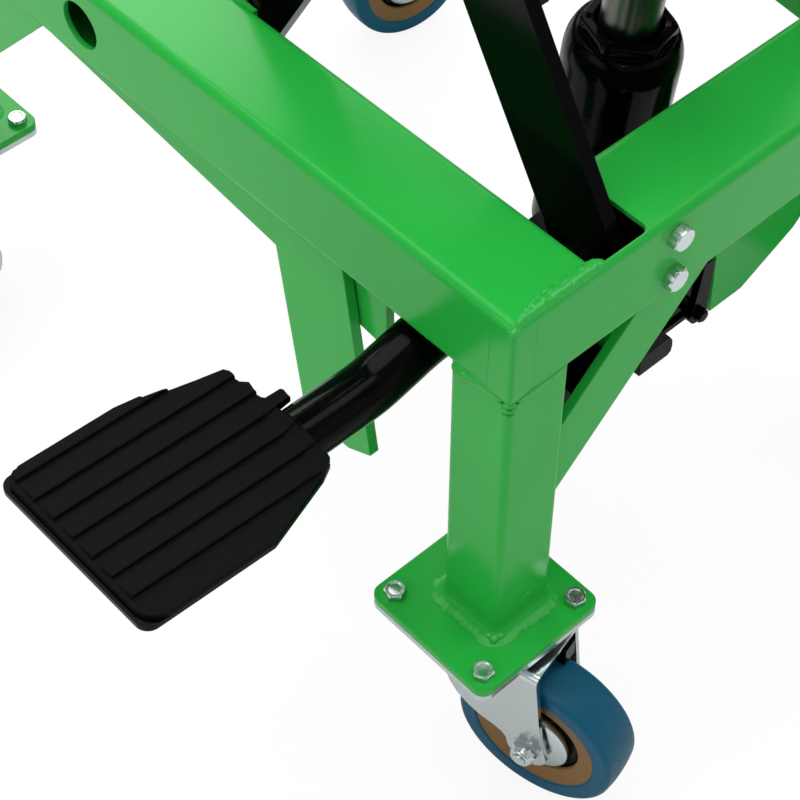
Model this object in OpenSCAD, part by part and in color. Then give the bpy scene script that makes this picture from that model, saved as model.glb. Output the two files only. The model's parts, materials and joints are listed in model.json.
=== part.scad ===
// Motorcycle scissor jack, modelled raised as in the photograph, in millimetres.
// The base frame's middle is the local centre; place() moves the origin under the bounding box.

/* [Base frame] */
// overall width of the rail frame, across the machine
base_w = 380; // [360:5:420]
// overall length of the rail frame
base_l = 550; // [530:5:600]
// outside of the square rail tube
rail_size = 55; // [54:0.5:58]
// wall of the rail tube
rail_wall = 3; // [2.5:0.25:3.5]
// outside corner radius of the rail tube
rail_r = 5; // [4:0.5:6]
// length of the clearance notch cut in each end rail beside the side rails
notch_w = 34.5; // [34:0.5:38]
// diameter of the lock hole in the outer wall of each side rail
lock_hole_d = 28; // [20:1:34]
// distance of the lock hole behind the frame's middle
lock_hole_y = 45; // [30:1:60]

/* [Legs and braces] */
// outside of the square leg tube
leg_size = 40; // [36:1:44]
// wall of the leg tube
leg_wall = 2.5; // [2:0.25:3]
// leg length between rail and foot plate
leg_len = 188; // [180:2:220]
// outside corner radius of the leg tube
leg_r = 4; // [3.5:0.5:5]
// how far a front brace runs along the rail from its leg
front_brace = 100; // [80:2:120]
// how far a side brace runs along the rail from its leg
side_brace = 148; // [120:2:150]
// width of the flat bar of the braces
brace_w = 36; // [25:1:40]
// thickness of the brace bar
brace_t = 5; // [4:0.5:6]
// depth of the tapered side gusset at its front end
gusset_d = 54; // [45:1:60]
// thickness of the side gusset
gusset_t = 5; // [4:0.5:6]

/* [Foot plates] */
// side of the square foot plate and of the caster plate
plate_size = 88; // [84:1:92]
// thickness of the welded foot plate
plate_t = 5; // [4:0.5:6]
// corner radius of both plates
plate_r = 7; // [5:0.5:10]
// bolt spacing on the plates, both ways
bolt_pitch = 68; // [66:1:70]
// how far a foot plate's middle stands outside its leg's middle, across the machine
plate_out = 6; // [0:1:8]
// how far a foot plate's middle stands inside its leg's middle, along the machine
plate_in = 2; // [0:1:4]

/* [Casters] */
// diameter of the caster wheel
wheel_d = 100; // [90:1:104]
// width of the tyre
wheel_w = 30; // [26:1:32]
// height of the whole caster with its plate
caster_h = 132; // [130:1:138]
// thickness of the caster's top plate
caster_plate_t = 4; // [3:0.5:5]
// offset of the axle behind the swivel axis
trail = 44; // [38:1:46]
// thickness of the pressed fork
fork_t = 3; // [2.5:0.25:3.5]
// radius where the tyre meets the hub
hub_r = 37.5; // [34:0.5:39]
// radius of the wheel axle
axle_r = 5; // [4:0.5:6]
// swivel angle of the front left caster
yaw_fl = 14; // [0:1:40]
// swivel angle of the front right caster
yaw_fr = 30; // [0:1:60]
// swivel angle of the rear left caster
yaw_rl = -42; // [-60:1:0]
// swivel angle of the rear right caster
yaw_rr = 80; // [60:1:90]

/* [Scissor] */
// distance between the end pivots of an arm
arm_len = 464; // [440:2:466]
// width of the arm bar
arm_w = 44; // [40:1:46]
// thickness of the arm bar
arm_t = 8; // [7:0.5:8]
// angle of the raised arms above level
arm_angle = 58.8; // [50:0.2:60]
// radius of the end pivot pins
pin_r = 6; // [5:0.5:7]
// radius of the middle pivot pins
mid_r = 7; // [6:0.5:8]
// radius of the rollers
roller_r = 18; // [16:0.5:18]
// width of the rollers
roller_w = 9; // [8:0.5:9]
// place of the lift bar along the inner arm
lift_s = 173.4; // [168:0.2:178]
// height of the lift bar above the arm's centre line
lift_up = 24; // [23:0.5:26]
// radius of the lift bar
lift_r = 12.5; // [11:0.5:13]
// distance of the outer arms' cross tube from their lower pivots
cross_s = 40; // [38:1:60]
// radius of the cross tube
cross_r = 11; // [9:0.5:12.5]
// thickness of the lift bar's brackets
bracket_t = 6; // [5:0.5:7]

/* [Deck] */
// width of the lifting plate
deck_w = 260; // [250:5:300]
// length of the lifting plate
deck_l = 510; // [505:5:530]
// thickness of the lifting plate
deck_t = 5; // [4:0.5:6]
// thickness of the rubber pads
pad_t = 14; // [10:1:20]
// wall of the deck's roller channels
channel_t = 4; // [3:0.5:4]
// side of the windows cut in the lifting plate
window = 64; // [50:2:70]

/* [Hydraulic jack] */
// place of the jack's lower pin behind the frame's front face
jack_y = 128.6; // [126:0.2:132]
// depth of the jack's lower pin below the rails
jack_drop = 115; // [113:1:118]
// forward lean of the raised jack
jack_lean = 6; // [5.8:0.1:6.2]
// radius of the jack body
body_r = 31; // [28:0.5:31]
// radius of the ram
ram_r = 15.5; // [13:0.5:16]
// distance from the lower pin to the top of the gland nut
cap_s = 176; // [173:0.5:177]
// width of the eight-sided gland nut across its flats
gland_af = 46; // [44:1:48]
// distance from the lower pin to the lift bar when raised
ram_end = 304.9; // [304:0.1:305.5]
// depth of the tray's top face below the rails
tray_drop = 129; // [129:1:132]
// thickness of the tray
tray_t = 4; // [3:0.5:5]
// width of the tray
tray_w = 108; // [104:1:116]
// length of the tray
tray_l = 105; // [100:1:112]
// width of the jack's lower eye
eye_w = 60; // [54:1:62]
// thickness of the jack's lugs, the tray's ribs and the hanger plate
lug_t = 5; // [4:0.5:6]
// length of the hanger plate's lower edge
hanger_foot = 26; // [20:1:34]
// width of the hanger plate under the rail
hanger_w = 123; // [100:1:130]

/* [Pedal] */
// outside radius of the pedal tube
tube_r = 14.5; // [13:0.5:15]
// wall of the pedal tube
tube_wall = 2.5; // [2:0.25:3]
// how far the tube runs ahead of the pedal's middle line
tube_off = 4; // [2:0.5:4.5]
// distance of the pedal's middle line behind the frame's front face
pedal_y = 75; // [74:0.5:77]
// place of the pedal pivot left of the jack
pedal_left = 40; // [39:0.5:42]
// reach of the pedal pad outside the frame
pedal_out = 192; // [170:1:200]
// length of the pedal pad across the machine
pad_len = 122; // [105:1:125]
// width of the pedal pad
pad_w = 109; // [90:1:112]
// how far the pad's middle stands behind the pedal's middle line
pad_off = 5.5; // [2:0.5:7]
// width of the flat guard bar that hangs beside the pedal
guard_w = 55; // [45:1:60]
// length of the guard bar
guard_len = 150; // [130:2:160]
// thickness of the guard bar
guard_t = 6; // [5:0.5:8]
// number of ribs on the pedal pad
pad_ribs = 7; // [5:1:9]
// pitch of the ribs
rib_pitch = 14.2; // [12:0.2:15]

/* [Pump] */
// place of the pump plunger left of the jack
pump_left = 73; // [72:0.5:75]
// width of the pump block along the machine
block_w = 49; // [44:1:52]
// depth of the pump block below the tray
block_d = 3.5; // [3:0.5:6]
// radius of the pump barrel
barrel_r = 13; // [12:0.5:14]
// place of the release spindle right of the jack
valve_right = 7; // [5:0.5:9]
// radius of the plunger rod
plunger_r = 6; // [5:0.5:7]
// mean radius of the return spring
spring_r = 10; // [9.5:0.25:11]
// radius of the spring wire
wire_r = 1.5; // [1.2:0.1:1.8]
// working turns of the return spring
spring_turns = 5; // [4:1:6]

/* [Fits] */
// radial clearance of a pin in its bore
fit = 0.05; // [0.02:0.01:0.1]
// gap between pieces that move past each other
gap = 0.4; // [0.3:0.05:0.6]

/* [Hidden] */
$fn = 64;
rail_z = caster_h + plate_t + leg_len;
pivot_z = rail_z + rail_size/2;
hx = base_w/2;
hy = base_l/2;
rail_in = hx - rail_size;
leg_x = hx - leg_size/2;
leg_y = hy - leg_size/2;
plate_x = leg_x + plate_out;
plate_y = leg_y - plate_in;
plate_z = caster_h;
wheel_r = wheel_d/2;
corner = [[-1, -1, yaw_fl], [1, -1, yaw_fr], [-1, 1, yaw_rl], [1, 1, yaw_rr]];
// the scissor's planes, counted inwards from the inner face of a side rail
track_gap = 1;
roller_x = rail_in - track_gap;
outer_x = roller_x - roller_w - track_gap;
inner_x = outer_x - arm_t - track_gap;
bracket_x = inner_x - arm_t;
up_roller_x = bracket_x - track_gap;
channel_w = roller_w + track_gap + 4;
channel_x = bracket_x - track_gap;
front_y = rail_size/2 - hy;
arm_c = cos(arm_angle);
arm_s = sin(arm_angle);
deck_z = pivot_z + arm_len*arm_s;
back_y = front_y + arm_len*arm_c;
deck_under = max(roller_r + gap + channel_t, arm_w/2 + gap);
lift_y = front_y + lift_s*arm_c - lift_up*arm_s;
lift_z = pivot_z + lift_s*arm_s + lift_up*arm_c;
folded_angle = 8;
folded_lift_y = front_y + lift_s*cos(folded_angle) - lift_up*sin(folded_angle);
// height of the deck's pivots above the lift bar when the jack is folded
folded_gap = (arm_len - lift_s)*sin(folded_angle) - lift_up*cos(folded_angle);
track_end = front_y + arm_len*cos(folded_angle) + roller_r + 3;
jack_py = jack_y - hy;
jack_pz = rail_z - jack_drop;
tray_z = rail_z - tray_drop;
eye_r = tray_drop - jack_drop - 1;
saddle_drop = 4;
ram_top = ram_end - lift_r - gap;
ram_travel = 103.5;
ram_low = 19 + ram_travel + 1;
head_s = cap_s - 42;
ped_y = pedal_y - hy;
ped_x = -pedal_left;
ped_z = rail_z - 8;
tube_y = ped_y - tube_off;
tube_z = rail_z - 27.2;
tube_under_z = rail_z - tube_r - 4;
bend_out = -hx - 24;
bend_in = 11 - hx;
tube_end = ped_x - 62;
inner_slope = atan2(ped_z - tube_under_z, ped_x - bend_in);
pad_near = -hx - pedal_out + pad_len;
pad_z = rail_z - 24.5;
pad_tilt = 2.9;
pedal_plate_t = 3;
rubber_t = 3;
rib_h = 2.2;
// the first rib's crest, 8 mm inside the pad's back edge
first_rib = pad_off + pad_w/2 - 8;
boss_w = 26;
riser_t = 4.7;
pump_x = -pump_left;
pump_y = ped_y - 5;
barrel_top = rail_z - 85;
head_top = rail_z - 31;
head_t = 4;
block_low = tray_z - tray_t - block_d;
press_r = 6;
press_z = head_top + gap + press_r;
lever_t = 14;
spring_low = barrel_top + wire_r;
spring_high = head_top - head_t - wire_r;
hanger_x = 17;
hanger_y = rail_size - hy;
valve_x = valve_right;
valve_z = tray_z + 11;
valve_r = 4.3;
nut_af = 10;
crown_top = caster_h - caster_plate_t - 6 - gap;
crown_front = trail + 2.5;
brake_y = trail - 12;
tread_reach = trail + wheel_r - 0.6;
tread_half = wheel_w/2 - 4;
reach_min = -hx - pedal_out;
reach_max = plate_x + tread_reach*sin(yaw_rr) + tread_half*cos(yaw_rr);
far_min = -plate_y - tread_reach*cos(yaw_fl) - tread_half*sin(yaw_fl);
far_max = plate_y + plate_size/2;
shift_x = -(reach_min + reach_max)/2;
shift_y = -(far_min + far_max)/2;

green = [0.20, 0.68, 0.28];
black = [0.06, 0.06, 0.07];
zinc = [0.72, 0.73, 0.75];
blue = [0.10, 0.32, 0.45];
tan_hub = [0.72, 0.52, 0.33];

// Shared shapes

module place() { translate([shift_x, shift_y, 0]) children(); }

module both() {
  children();
  mirror([1, 0, 0]) children();
}

module four() {
  for (c = corner) translate([c[0]*plate_x, c[1]*plate_y, 0]) children();
}

// a profile drawn in (y, z), extruded along x
module slab_x(x0, t) {
  translate([x0, 0, 0]) rotate([90, 0, 90]) linear_extrude(t) children();
}

// a profile drawn in (x, z), extruded along y
module slab_y(y0, t) {
  translate([0, y0 + t, 0]) rotate([90, 0, 0]) linear_extrude(t) children();
}

module rod_x(x0, x1, r) {
  translate([x0, 0, 0]) rotate([0, 90, 0]) cylinder(h = x1 - x0, r = r);
}

module rod_y(y0, y1, r) {
  translate([0, y1, 0]) rotate([90, 0, 0]) cylinder(h = y1 - y0, r = r);
}

module rounded(w, h, r) {
  square([w - 2*r, h], center = true);
  square([w, h - 2*r], center = true);
  for (x = [-1, 1], y = [-1, 1]) translate([x*(w/2 - r), y*(h/2 - r)]) circle(r);
}

module tube_profile(size, wall, r) {
  difference() {
    rounded(size, size, r);
    rounded(size - 2*wall, size - 2*wall, max(r - wall, 0.8));
  }
}

module hex_bolt(af, head, r, len) {
  cylinder(h = head, r = af/2/cos(30), $fn = 6);
  translate([0, 0, -len]) cylinder(h = len, r = r, $fn = 32);
}

// Base frame

module end_rail() {
  difference() {
    translate([0, -hy + rail_size/2, pivot_z])
      slab_x(-hx, base_w) tube_profile(rail_size, rail_wall, rail_r);
    both() {
      translate([rail_in, -hy + rail_wall, rail_z - 1]) cube([rail_size + 1, rail_size, rail_size + 2]);
      translate([rail_in - notch_w, -hy + rail_wall + rail_r, rail_z + rail_wall])
        cube([notch_w + 1, rail_size, rail_size]);
      translate([rail_in - notch_w + rail_r, -hy + rail_wall, rail_z + rail_wall])
        cube([notch_w + 1 - rail_r, rail_size, rail_size]);
      translate([rail_in - notch_w + rail_r, -hy + rail_wall + rail_r, rail_z + rail_wall])
        cylinder(h = rail_size, r = rail_r);
      for (z = [-1, 1])
        translate([pivot_bolt_x(), -hy, pivot_z + z*pivot_bolt_z()]) rod_y(-1, rail_wall + 1, 3.1, $fn = 32);
    }
  }
}

function pivot_bolt_x() = rail_in - notch_w - 17;
function pivot_bolt_z() = rail_size/4;

module front_rail() {
  color(green) place() end_rail();
}

module rear_rail() {
  color(green) place() mirror([0, 1, 0]) end_rail();
}

module side_rail() {
  difference() {
    translate([hx - rail_size/2, 0, pivot_z])
      slab_y(-hy + rail_wall, base_l - 2*rail_wall) tube_profile(rail_size, rail_wall, rail_r);
    translate([hx, lock_hole_y, pivot_z]) rod_x(-rail_wall - 1, 1, lock_hole_d/2);
    translate([rail_in, front_y, pivot_z]) rod_x(-1, rail_wall + 1, pin_r + fit);
  }
}

module left_rail() { color(green) place() mirror([1, 0, 0]) side_rail(); }
module right_rail() { color(green) place() side_rail(); }

module legs() {
  color(green) place()
    for (x = [-1, 1], y = [-1, 1]) translate([x*leg_x, y*leg_y, plate_z + plate_t])
      linear_extrude(leg_len) tube_profile(leg_size, leg_wall, leg_r);
}

module plate_holes(z, t) {
  for (x = [-1, 1], y = [-1, 1])
    translate([x*bolt_pitch/2, y*bolt_pitch/2, z - 1]) cylinder(h = t + 2, r = 3.2, $fn = 32);
}

module foot_plates() {
  color(green) place() four() difference() {
    translate([0, 0, plate_z]) linear_extrude(plate_t) rounded(plate_size, plate_size, plate_r);
    plate_holes(plate_z, plate_t);
  }
}

// flat bar at 45 degrees, cut flush with the leg and the rail
module brace_profile(reach) {
  inner = reach - brace_w*sqrt(2);
  polygon([[0, 0], [reach, 0], [0, -reach]]);
}

module brace_bar(reach) {
  inner = reach - brace_w*sqrt(2);
  difference() {
    brace_profile(reach);
    polygon([[-1, 1], [inner + 1, 1], [-1, -inner - 1]]);
  }
}

module leg_braces() {
  color(green) place() {
    both() translate([-hx + leg_size, 0, rail_z]) slab_y(-hy + 3, brace_t) brace_bar(front_brace);
    both() translate([-hx + 3, hy - leg_size, rail_z]) mirror([0, 1, 0])
      slab_x(0, brace_t) brace_bar(side_brace);
  }
}

module side_gussets() {
  tail = 6;
  color(green) place() both() slab_x(-hx + 15, gusset_t)
    polygon([[-hy + 100, rail_z], [hy - leg_size - 5, rail_z],
             [hy - leg_size - 5, rail_z - tail], [-hy + 100, rail_z - gusset_d]]);
}

// flat bar that leans forward eight degrees, with its lower front corner cut off
module pedal_guard() {
  y0 = pedal_y - hy + 51;
  lean = guard_len*tan(8);
  low = rail_z - guard_len;
  color(green) place() slab_x(-hx + 8, guard_t) difference() {
    polygon([[y0, rail_z], [y0 + guard_w, rail_z], [y0 + guard_w - lean, low], [y0 - lean, low]]);
    polygon([[y0 - lean - 9, low - 1], [y0 - lean + 21, low - 1], [y0 - lean - 9, low + 15]]);
  }
}

module jack_hanger_front() {
  low = tray_z - tray_t;
  high = rail_z - low;
  color(green) place() slab_y(hanger_y - lug_t, lug_t)
    polygon([[hanger_x, rail_z], [hanger_x + 7, low], [hanger_x + 7 + hanger_foot, low],
             [hanger_x + 0.6*hanger_w, low + 0.16*high], [hanger_x + hanger_w, rail_z - 0.45*high],
             [hanger_x + hanger_w, rail_z]]);
}

// upright ribs that stiffen the tray: the left one stays below the pedal's swing
module tray_ribs() {
  y0 = hanger_y;
  y1 = hanger_y + tray_l;
  color(green) place() {
    slab_x(tray_w/2 - lug_t, lug_t) polygon([[y0, tray_z], [y1, tray_z], [y1, tray_z + 10], [y0, rail_z]]);
    slab_x(-tray_w/2, lug_t) polygon([[y0, tray_z], [y1, tray_z], [y1, tray_z + 10], [y0 + 38, tray_z + 60],
                                      [y0, tray_z + 72]]);
  }
}

module jack_tray() {
  lug_x = eye_w/2 + gap;
  lug_r = jack_pz - tray_z + 2;
  color(black) place() {
    translate([-tray_w/2, hanger_y, tray_z - tray_t]) cube([tray_w, tray_l, tray_t]);
    both() difference() {
      slab_x(lug_x, lug_t) {
        translate([jack_py, jack_pz]) circle(lug_r);
        polygon([[jack_py - lug_r, tray_z], [jack_py + lug_r, tray_z],
                 [jack_py + lug_r, jack_pz], [jack_py - lug_r, jack_pz]]);
      }
      translate([0, jack_py, jack_pz]) rod_x(lug_x - 1, lug_x + lug_t + 1, pin_r + fit);
      translate([lug_x - 1, jack_py - 2*lug_r, tray_z - 10]) cube([lug_t + 2, 4*lug_r, 10]);
    }
  }
}

// Scissor pivots held by the base

module pivot_brackets() {
  x1 = rail_in - notch_w;
  inside = rail_size - 2*rail_wall;
  clear = 1.6;
  color(black) place() both() difference() {
    union() {
      translate([x1 - 5.5, -hy + rail_wall, rail_z + rail_wall + clear])
        cube([5, inside - clear, inside - 2*clear]);
      translate([x1 - 36, -hy + rail_wall, rail_z + rail_wall + 2]) cube([32, 4, inside - 4]);
    }
    translate([0, front_y, pivot_z]) rod_x(x1 - 8, x1 + 1, pin_r + fit);
    for (z = [-1, 1])
      translate([pivot_bolt_x(), -hy, pivot_z + z*pivot_bolt_z()]) rod_y(0, 12, 3.1, $fn = 32);
  }
}

module pivot_bolts() {
  color(zinc) place() both() for (z = [-1, 1])
    translate([pivot_bolt_x(), -hy, pivot_z + z*pivot_bolt_z()]) {
      rotate([90, 0, 0]) hex_bolt(nut_af, 4, 3, rail_wall + 12);
      translate([0, rail_wall + 4 + 5, 0]) rotate([90, 0, 0]) cylinder(h = 5, r = nut_af/2/cos(30), $fn = 6);
    }
}

module pivot_pins() {
  x1 = rail_in - notch_w;
  color(zinc) place() {
    both() translate([0, front_y, pivot_z]) {
      rod_x(x1 - 9, rail_in + rail_wall, pin_r);
      rod_x(x1 - 9.5, x1 - 5.5, pin_r + 3);
    }
    translate([0, jack_py, jack_pz]) {
      rod_x(-eye_w/2 - gap - lug_t - 4, eye_w/2 + gap + lug_t, pin_r);
      rod_x(eye_w/2 + gap + lug_t, eye_w/2 + gap + lug_t + 4, pin_r + 3);
    }
    translate([ped_x, ped_y, ped_z]) {
      rod_y(-boss_w/2 - gap - riser_t, boss_w/2 + gap + riser_t + 3, pin_r);
      rod_y(-boss_w/2 - gap - riser_t - 3, -boss_w/2 - gap - riser_t, pin_r + 3);
    }
  }
}

module roller_tracks() {
  run = roller_r + 4;
  lip = roller_r + gap;
  color(green) place() both() {
    translate([outer_x + track_gap/2, back_y - run, pivot_z - lip - 4])
      cube([rail_in - outer_x - track_gap/2, track_end - back_y + run, 4]);
    translate([rail_in - 4.5, back_y - run, pivot_z + lip])
      cube([4.5, track_end - back_y + run, 4]);
  }
}

// Scissor arms, drawn along the arm from its lower pivot

module arm_profile(end_r) {
  difference() {
    union() {
      translate([0, -arm_w/2]) square([arm_len, arm_w]);
      for (s = [0, arm_len]) translate([s, 0]) circle(arm_w/2);
    }
    for (s = [0, arm_len]) translate([s, 0]) circle(end_r);
    translate([arm_len/2, 0]) circle(mid_r + fit);
  }
}

module inner_arm() {
  translate([bracket_x, front_y, pivot_z]) rotate([arm_angle, 0, 0])
    slab_x(0, arm_t) arm_profile(pin_r + fit);
}

module inner_arm_left() { color(black) place() mirror([1, 0, 0]) inner_arm(); }
module inner_arm_right() { color(black) place() inner_arm(); }

module outer_arm() {
  translate([inner_x + track_gap, back_y, pivot_z]) rotate([180 - arm_angle, 0, 0])
    slab_x(0, arm_t) arm_profile(pin_r + fit);
}

module outer_arm_left() { color(black) place() mirror([1, 0, 0]) outer_arm(); }
module outer_arm_right() { color(black) place() outer_arm(); }

module lift_bar() {
  x1 = bracket_x - bracket_t;
  color(black) place() {
    translate([0, lift_y, lift_z]) rod_x(-x1, x1, lift_r);
    both() translate([x1, front_y, pivot_z]) rotate([arm_angle, 0, 0]) slab_x(0, bracket_t) {
      translate([lift_s - 50, 0]) square([66, 20]);
      translate([lift_s - 42, -8]) square([50, 30]);
      translate([lift_s - 42, 0]) circle(8);
      translate([lift_s + 8, 0]) circle(8);
      translate([lift_s, lift_up]) circle(lift_r + 6);
      polygon([[lift_s - 50, 20], [lift_s + 16, 20], [lift_s + 15, 36], [lift_s - 12, 38]]);
    }
  }
}

// one shaft through all four arms, welded to the inner pair
module mid_shaft() {
  end = outer_x + gap + 5;
  color(zinc) place()
    translate([0, front_y + arm_len*arm_c/2, pivot_z + arm_len*arm_s/2]) {
      rod_x(-end, end, mid_r);
      both() {
        rod_x(outer_x + gap, end, mid_r + 4.5);
        rod_x(bracket_x - 6, bracket_x, mid_r + 2);
      }
    }
}

module upper_rollers() {
  color(zinc) place() both() translate([0, back_y, deck_z]) {
    rod_x(up_roller_x - roller_w, up_roller_x, roller_r);
    rod_x(up_roller_x - 1, inner_x + 0.5, pin_r);
  }
}

module outer_cross_tube() {
  color(black) place()
    translate([0, back_y - cross_s*arm_c, pivot_z + cross_s*arm_s]) difference() {
      rod_x(-inner_x - track_gap, inner_x + track_gap, cross_r);
      rod_x(-inner_x - 5, inner_x + 5, cross_r - 2.5);
    }
}

module lower_rollers() {
  color(zinc) place() both() translate([0, back_y, pivot_z]) {
    rod_x(roller_x - roller_w, roller_x, roller_r);
    rod_x(inner_x + track_gap - 0.5, roller_x - 1, pin_r);
  }
}

// Lifting deck

// each channel is cut away below where the lift bar and its brackets come up when the jack is folded
module deck_channels() {
  lip = roller_r + gap;
  y0 = -hy + 8;
  y1 = track_end + 12;
  color(green) place() both() difference() {
    translate([channel_x - channel_w, y0, deck_z - deck_under])
      cube([channel_w, y1 - y0, 2*deck_under]);
    translate([channel_x - channel_w + 3, y0 - 1, deck_z - lip])
      cube([channel_w, y1 - y0 + 2, 2*lip]);
    translate([channel_x - channel_w - 1, folded_lift_y - lift_r - 34, deck_z - deck_under - 1])
      cube([channel_w + 2, 2*lift_r + 45, deck_under - folded_gap + lift_r + 8]);
    translate([0, front_y, deck_z]) rod_x(channel_x - channel_w - 1, channel_x - channel_w + 4, pin_r + fit);
  }
}

module deck_plate() {
  color(green) place() translate([0, -hy + 5 + deck_l/2, deck_z + deck_under])
    linear_extrude(deck_t) difference() {
      rounded(deck_w, deck_l, 12);
      for (y = [-1, 0, 1]) translate([0, y*deck_l/3.6]) rounded(window, window, 12);
    }
}

module deck_pads() {
  color(black) place() both()
    translate([deck_w/2 - 38, -hy + 5 + deck_l/2, deck_z + deck_under + deck_t])
      linear_extrude(pad_t) rounded(60, deck_l - 60, 10);
}

module deck_pins() {
  x0 = channel_x - channel_w;
  color(zinc) place() both() translate([0, front_y, deck_z]) {
    rod_x(x0, outer_x + gap + 4, pin_r);
    rod_x(outer_x + gap, outer_x + gap + 4, pin_r + 4);
    rod_x(x0 + 3, inner_x + track_gap - gap, pin_r + 4);
  }
}

// Hydraulic jack, drawn upright on its lower pin and leaned as one

module on_jack() {
  translate([0, jack_py, jack_pz]) rotate([jack_lean, 0, 0]) children();
}

module jack_body() {
  color(black) place() on_jack() difference() {
    union() {
      rod_x(-eye_w/2, eye_w/2, eye_r);
      translate([-eye_w/2 + 5, -eye_r, 0]) cube([eye_w - 10, 2*eye_r, 16]);
      translate([0, 0, 16]) rotate_extrude() polygon([[0, 0], [body_r - 3, 0], [body_r, 3],
        [body_r, head_s - 19], [body_r - 1.5, head_s - 16], [0, head_s - 16]]);
    }
    rod_x(-eye_w, eye_w, pin_r + fit);
    translate([0, 0, 19]) cylinder(h = cap_s, r = ram_r + fit);
  }
}

// round head with a groove below it and an eight-sided nut on top
module jack_gland() {
  nut_s = head_s + 26;
  color(black) place() on_jack() difference() {
    union() {
      rotate_extrude() polygon([[0, head_s], [body_r - 1.5, head_s], [body_r + 0.5, head_s + 3],
        [body_r + 0.5, head_s + 17], [body_r - 0.5, head_s + 21], [body_r - 3, head_s + 25],
        [body_r - 4, nut_s], [0, nut_s]]);
      intersection() {
        translate([0, 0, nut_s]) rotate([0, 0, 18]) cylinder(h = cap_s - nut_s, r = gland_af/2/cos(22.5), $fn = 8);
        rotate_extrude() polygon([[0, nut_s], [gland_af/2 + 4, nut_s], [gland_af/2 + 1, cap_s], [0, cap_s]]);
      }
    }
    translate([0, 0, head_s - 1]) cylinder(h = 60, r = ram_r + fit);
  }
}

module jack_ram() {
  color(zinc) place() on_jack() {
    translate([0, 0, ram_low]) cylinder(h = ram_top - saddle_drop - ram_low, r = ram_r);
  }
}

module ram_saddle() {
  s0 = ram_top - saddle_drop;
  color(black) place() on_jack() difference() {
    translate([0, 0, s0 - 5]) cylinder(h = saddle_drop + 10, r = ram_r + 4);
    translate([0, 0, s0 - 6]) cylinder(h = 6, r = ram_r);
    translate([0, 0, ram_end]) rod_x(-40, 40, lift_r + gap);
  }
}

// Pedal

// run of the bent tube: out from the pad, up under the rail, and on to the lever at the pivot
module tube_run(r, start, bend) {
  rise = atan2(tube_under_z - tube_z, bend_in - bend_out);
  translate([0, tube_y, 0]) {
    translate([0, 0, tube_z]) rod_x(start, bend_out, r);
    translate([bend_out, 0, tube_z]) sphere(r + bend);
    translate([bend_out, 0, tube_z]) rotate([0, -rise, 0]) rod_x(0, (bend_in - bend_out)/cos(rise), r);
    translate([bend_in, 0, tube_under_z]) sphere(r + bend);
    translate([bend_in, 0, tube_under_z]) rotate([0, -inner_slope, 0]) rod_x(0, (tube_end - bend_in)/cos(inner_slope), r);
  }
}

module pedal_tube() {
  lever_x = tube_end - 4;
  lever_z = ped_z - (ped_x - lever_x)*tan(inner_slope);
  color(black) place() difference() {
    union() {
      difference() {
        tube_run(tube_r, pad_near + 0.6, 0.2);
        translate([0, tube_y, tube_z]) rod_x(pad_near - 1, bend_out, tube_r - tube_wall);
      }
      translate([0, ped_y, 0]) {
        slab_y(-lever_t/2, lever_t) polygon([[lever_x, lever_z - 11], [ped_x, ped_z - 11],
          [ped_x, ped_z + 11], [lever_x, lever_z + 11]]);
        translate([ped_x, 0, ped_z]) rod_y(-boss_w/2, boss_w/2, 11);
        translate([pump_x, 0, press_z]) rod_y(-11, 8, press_r);
        translate([pump_x - 5, -11, press_z]) cube([10, 19, 12]);
      }
    }
    translate([ped_x, ped_y, ped_z]) rod_y(-boss_w, boss_w, pin_r + fit);
  }
}

// steel plate under the rubber, narrowed towards the tube, with rounded outer corners
module pad_outline() {
  far = -pad_len;
  low = pad_off - pad_w/2;
  high = pad_off + pad_w/2;
  r = 7;
  difference() {
    polygon([[0, low + 19], [-8, low + 14.5], [-49, low], [far, low], [far, high],
             [-50.5, high], [-2, high - 14], [0, high - 19]]);
    translate([far, low]) difference() {
      translate([-1, -1]) square(r + 1);
      translate([r, r]) circle(r);
    }
    translate([far, high]) difference() {
      translate([-1, -r]) square(r + 1);
      translate([r, -r]) circle(r);
    }
  }
}

// the rubber stops short of the plate's outer edge, and its strips end in steps, one in a tongue beside the tube
module rubber_outline() {
  high = pad_off + pad_w/2;
  edge = 2;
  difference() {
    pad_outline();
    translate([-pad_len - 1, -pad_w]) square([edge + 1, 2*pad_w]);
    polygon([[-38, high + 1], [-36, high - 6], [-11.5, high - 12.7], [-2, high - 13], [4, high - 13], [4, high + 1]]);
  }
  polygon([[-2, high - 40.3], [12, high - 42.2], [10, high - 50], [-2, high - 50]]);
}

module on_pad() {
  translate([pad_near, ped_y, pad_z]) rotate([0, pad_tilt, 0]) children();
}

module pedal_plate() {
  color(black) place() on_pad() linear_extrude(pedal_plate_t) pad_outline();
}

module pedal_pad() {
  color(black) place() on_pad() translate([0, 0, pedal_plate_t]) intersection() {
    linear_extrude(rubber_t + rib_h + 1) rubber_outline();
    union() {
      translate([-pad_len - 1, -pad_w, 0]) cube([pad_len + 20, 2*pad_w, rubber_t]);
      for (k = [0:pad_ribs - 1]) translate([0, first_rib - k*rib_pitch, 0])
        slab_x(-pad_len - 1, pad_len + 20)
          polygon([[0, rubber_t - 1], [rib_pitch - 0.6, rubber_t - 1], [rib_pitch - 0.6, rubber_t],
                   [0, rubber_t + rib_h]]);
    }
  }
}

module pedal_riser() {
  color(black) place() translate([ped_x, ped_y, 0]) for (s = [-1, 1]) mirror([0, s > 0 ? 0 : 1, 0]) difference() {
    translate([0, boss_w/2 + gap, 0]) {
      slab_y(0, riser_t) polygon([[-8, tray_z], [14, tray_z], [10, ped_z], [-8, ped_z]]);
      translate([0, 0, ped_z]) rod_y(0, riser_t, 11);
    }
    translate([0, 0, ped_z]) rod_y(boss_w/2, boss_w/2 + 10, pin_r + fit);
  }
}

// Pump beside the jack

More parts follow.
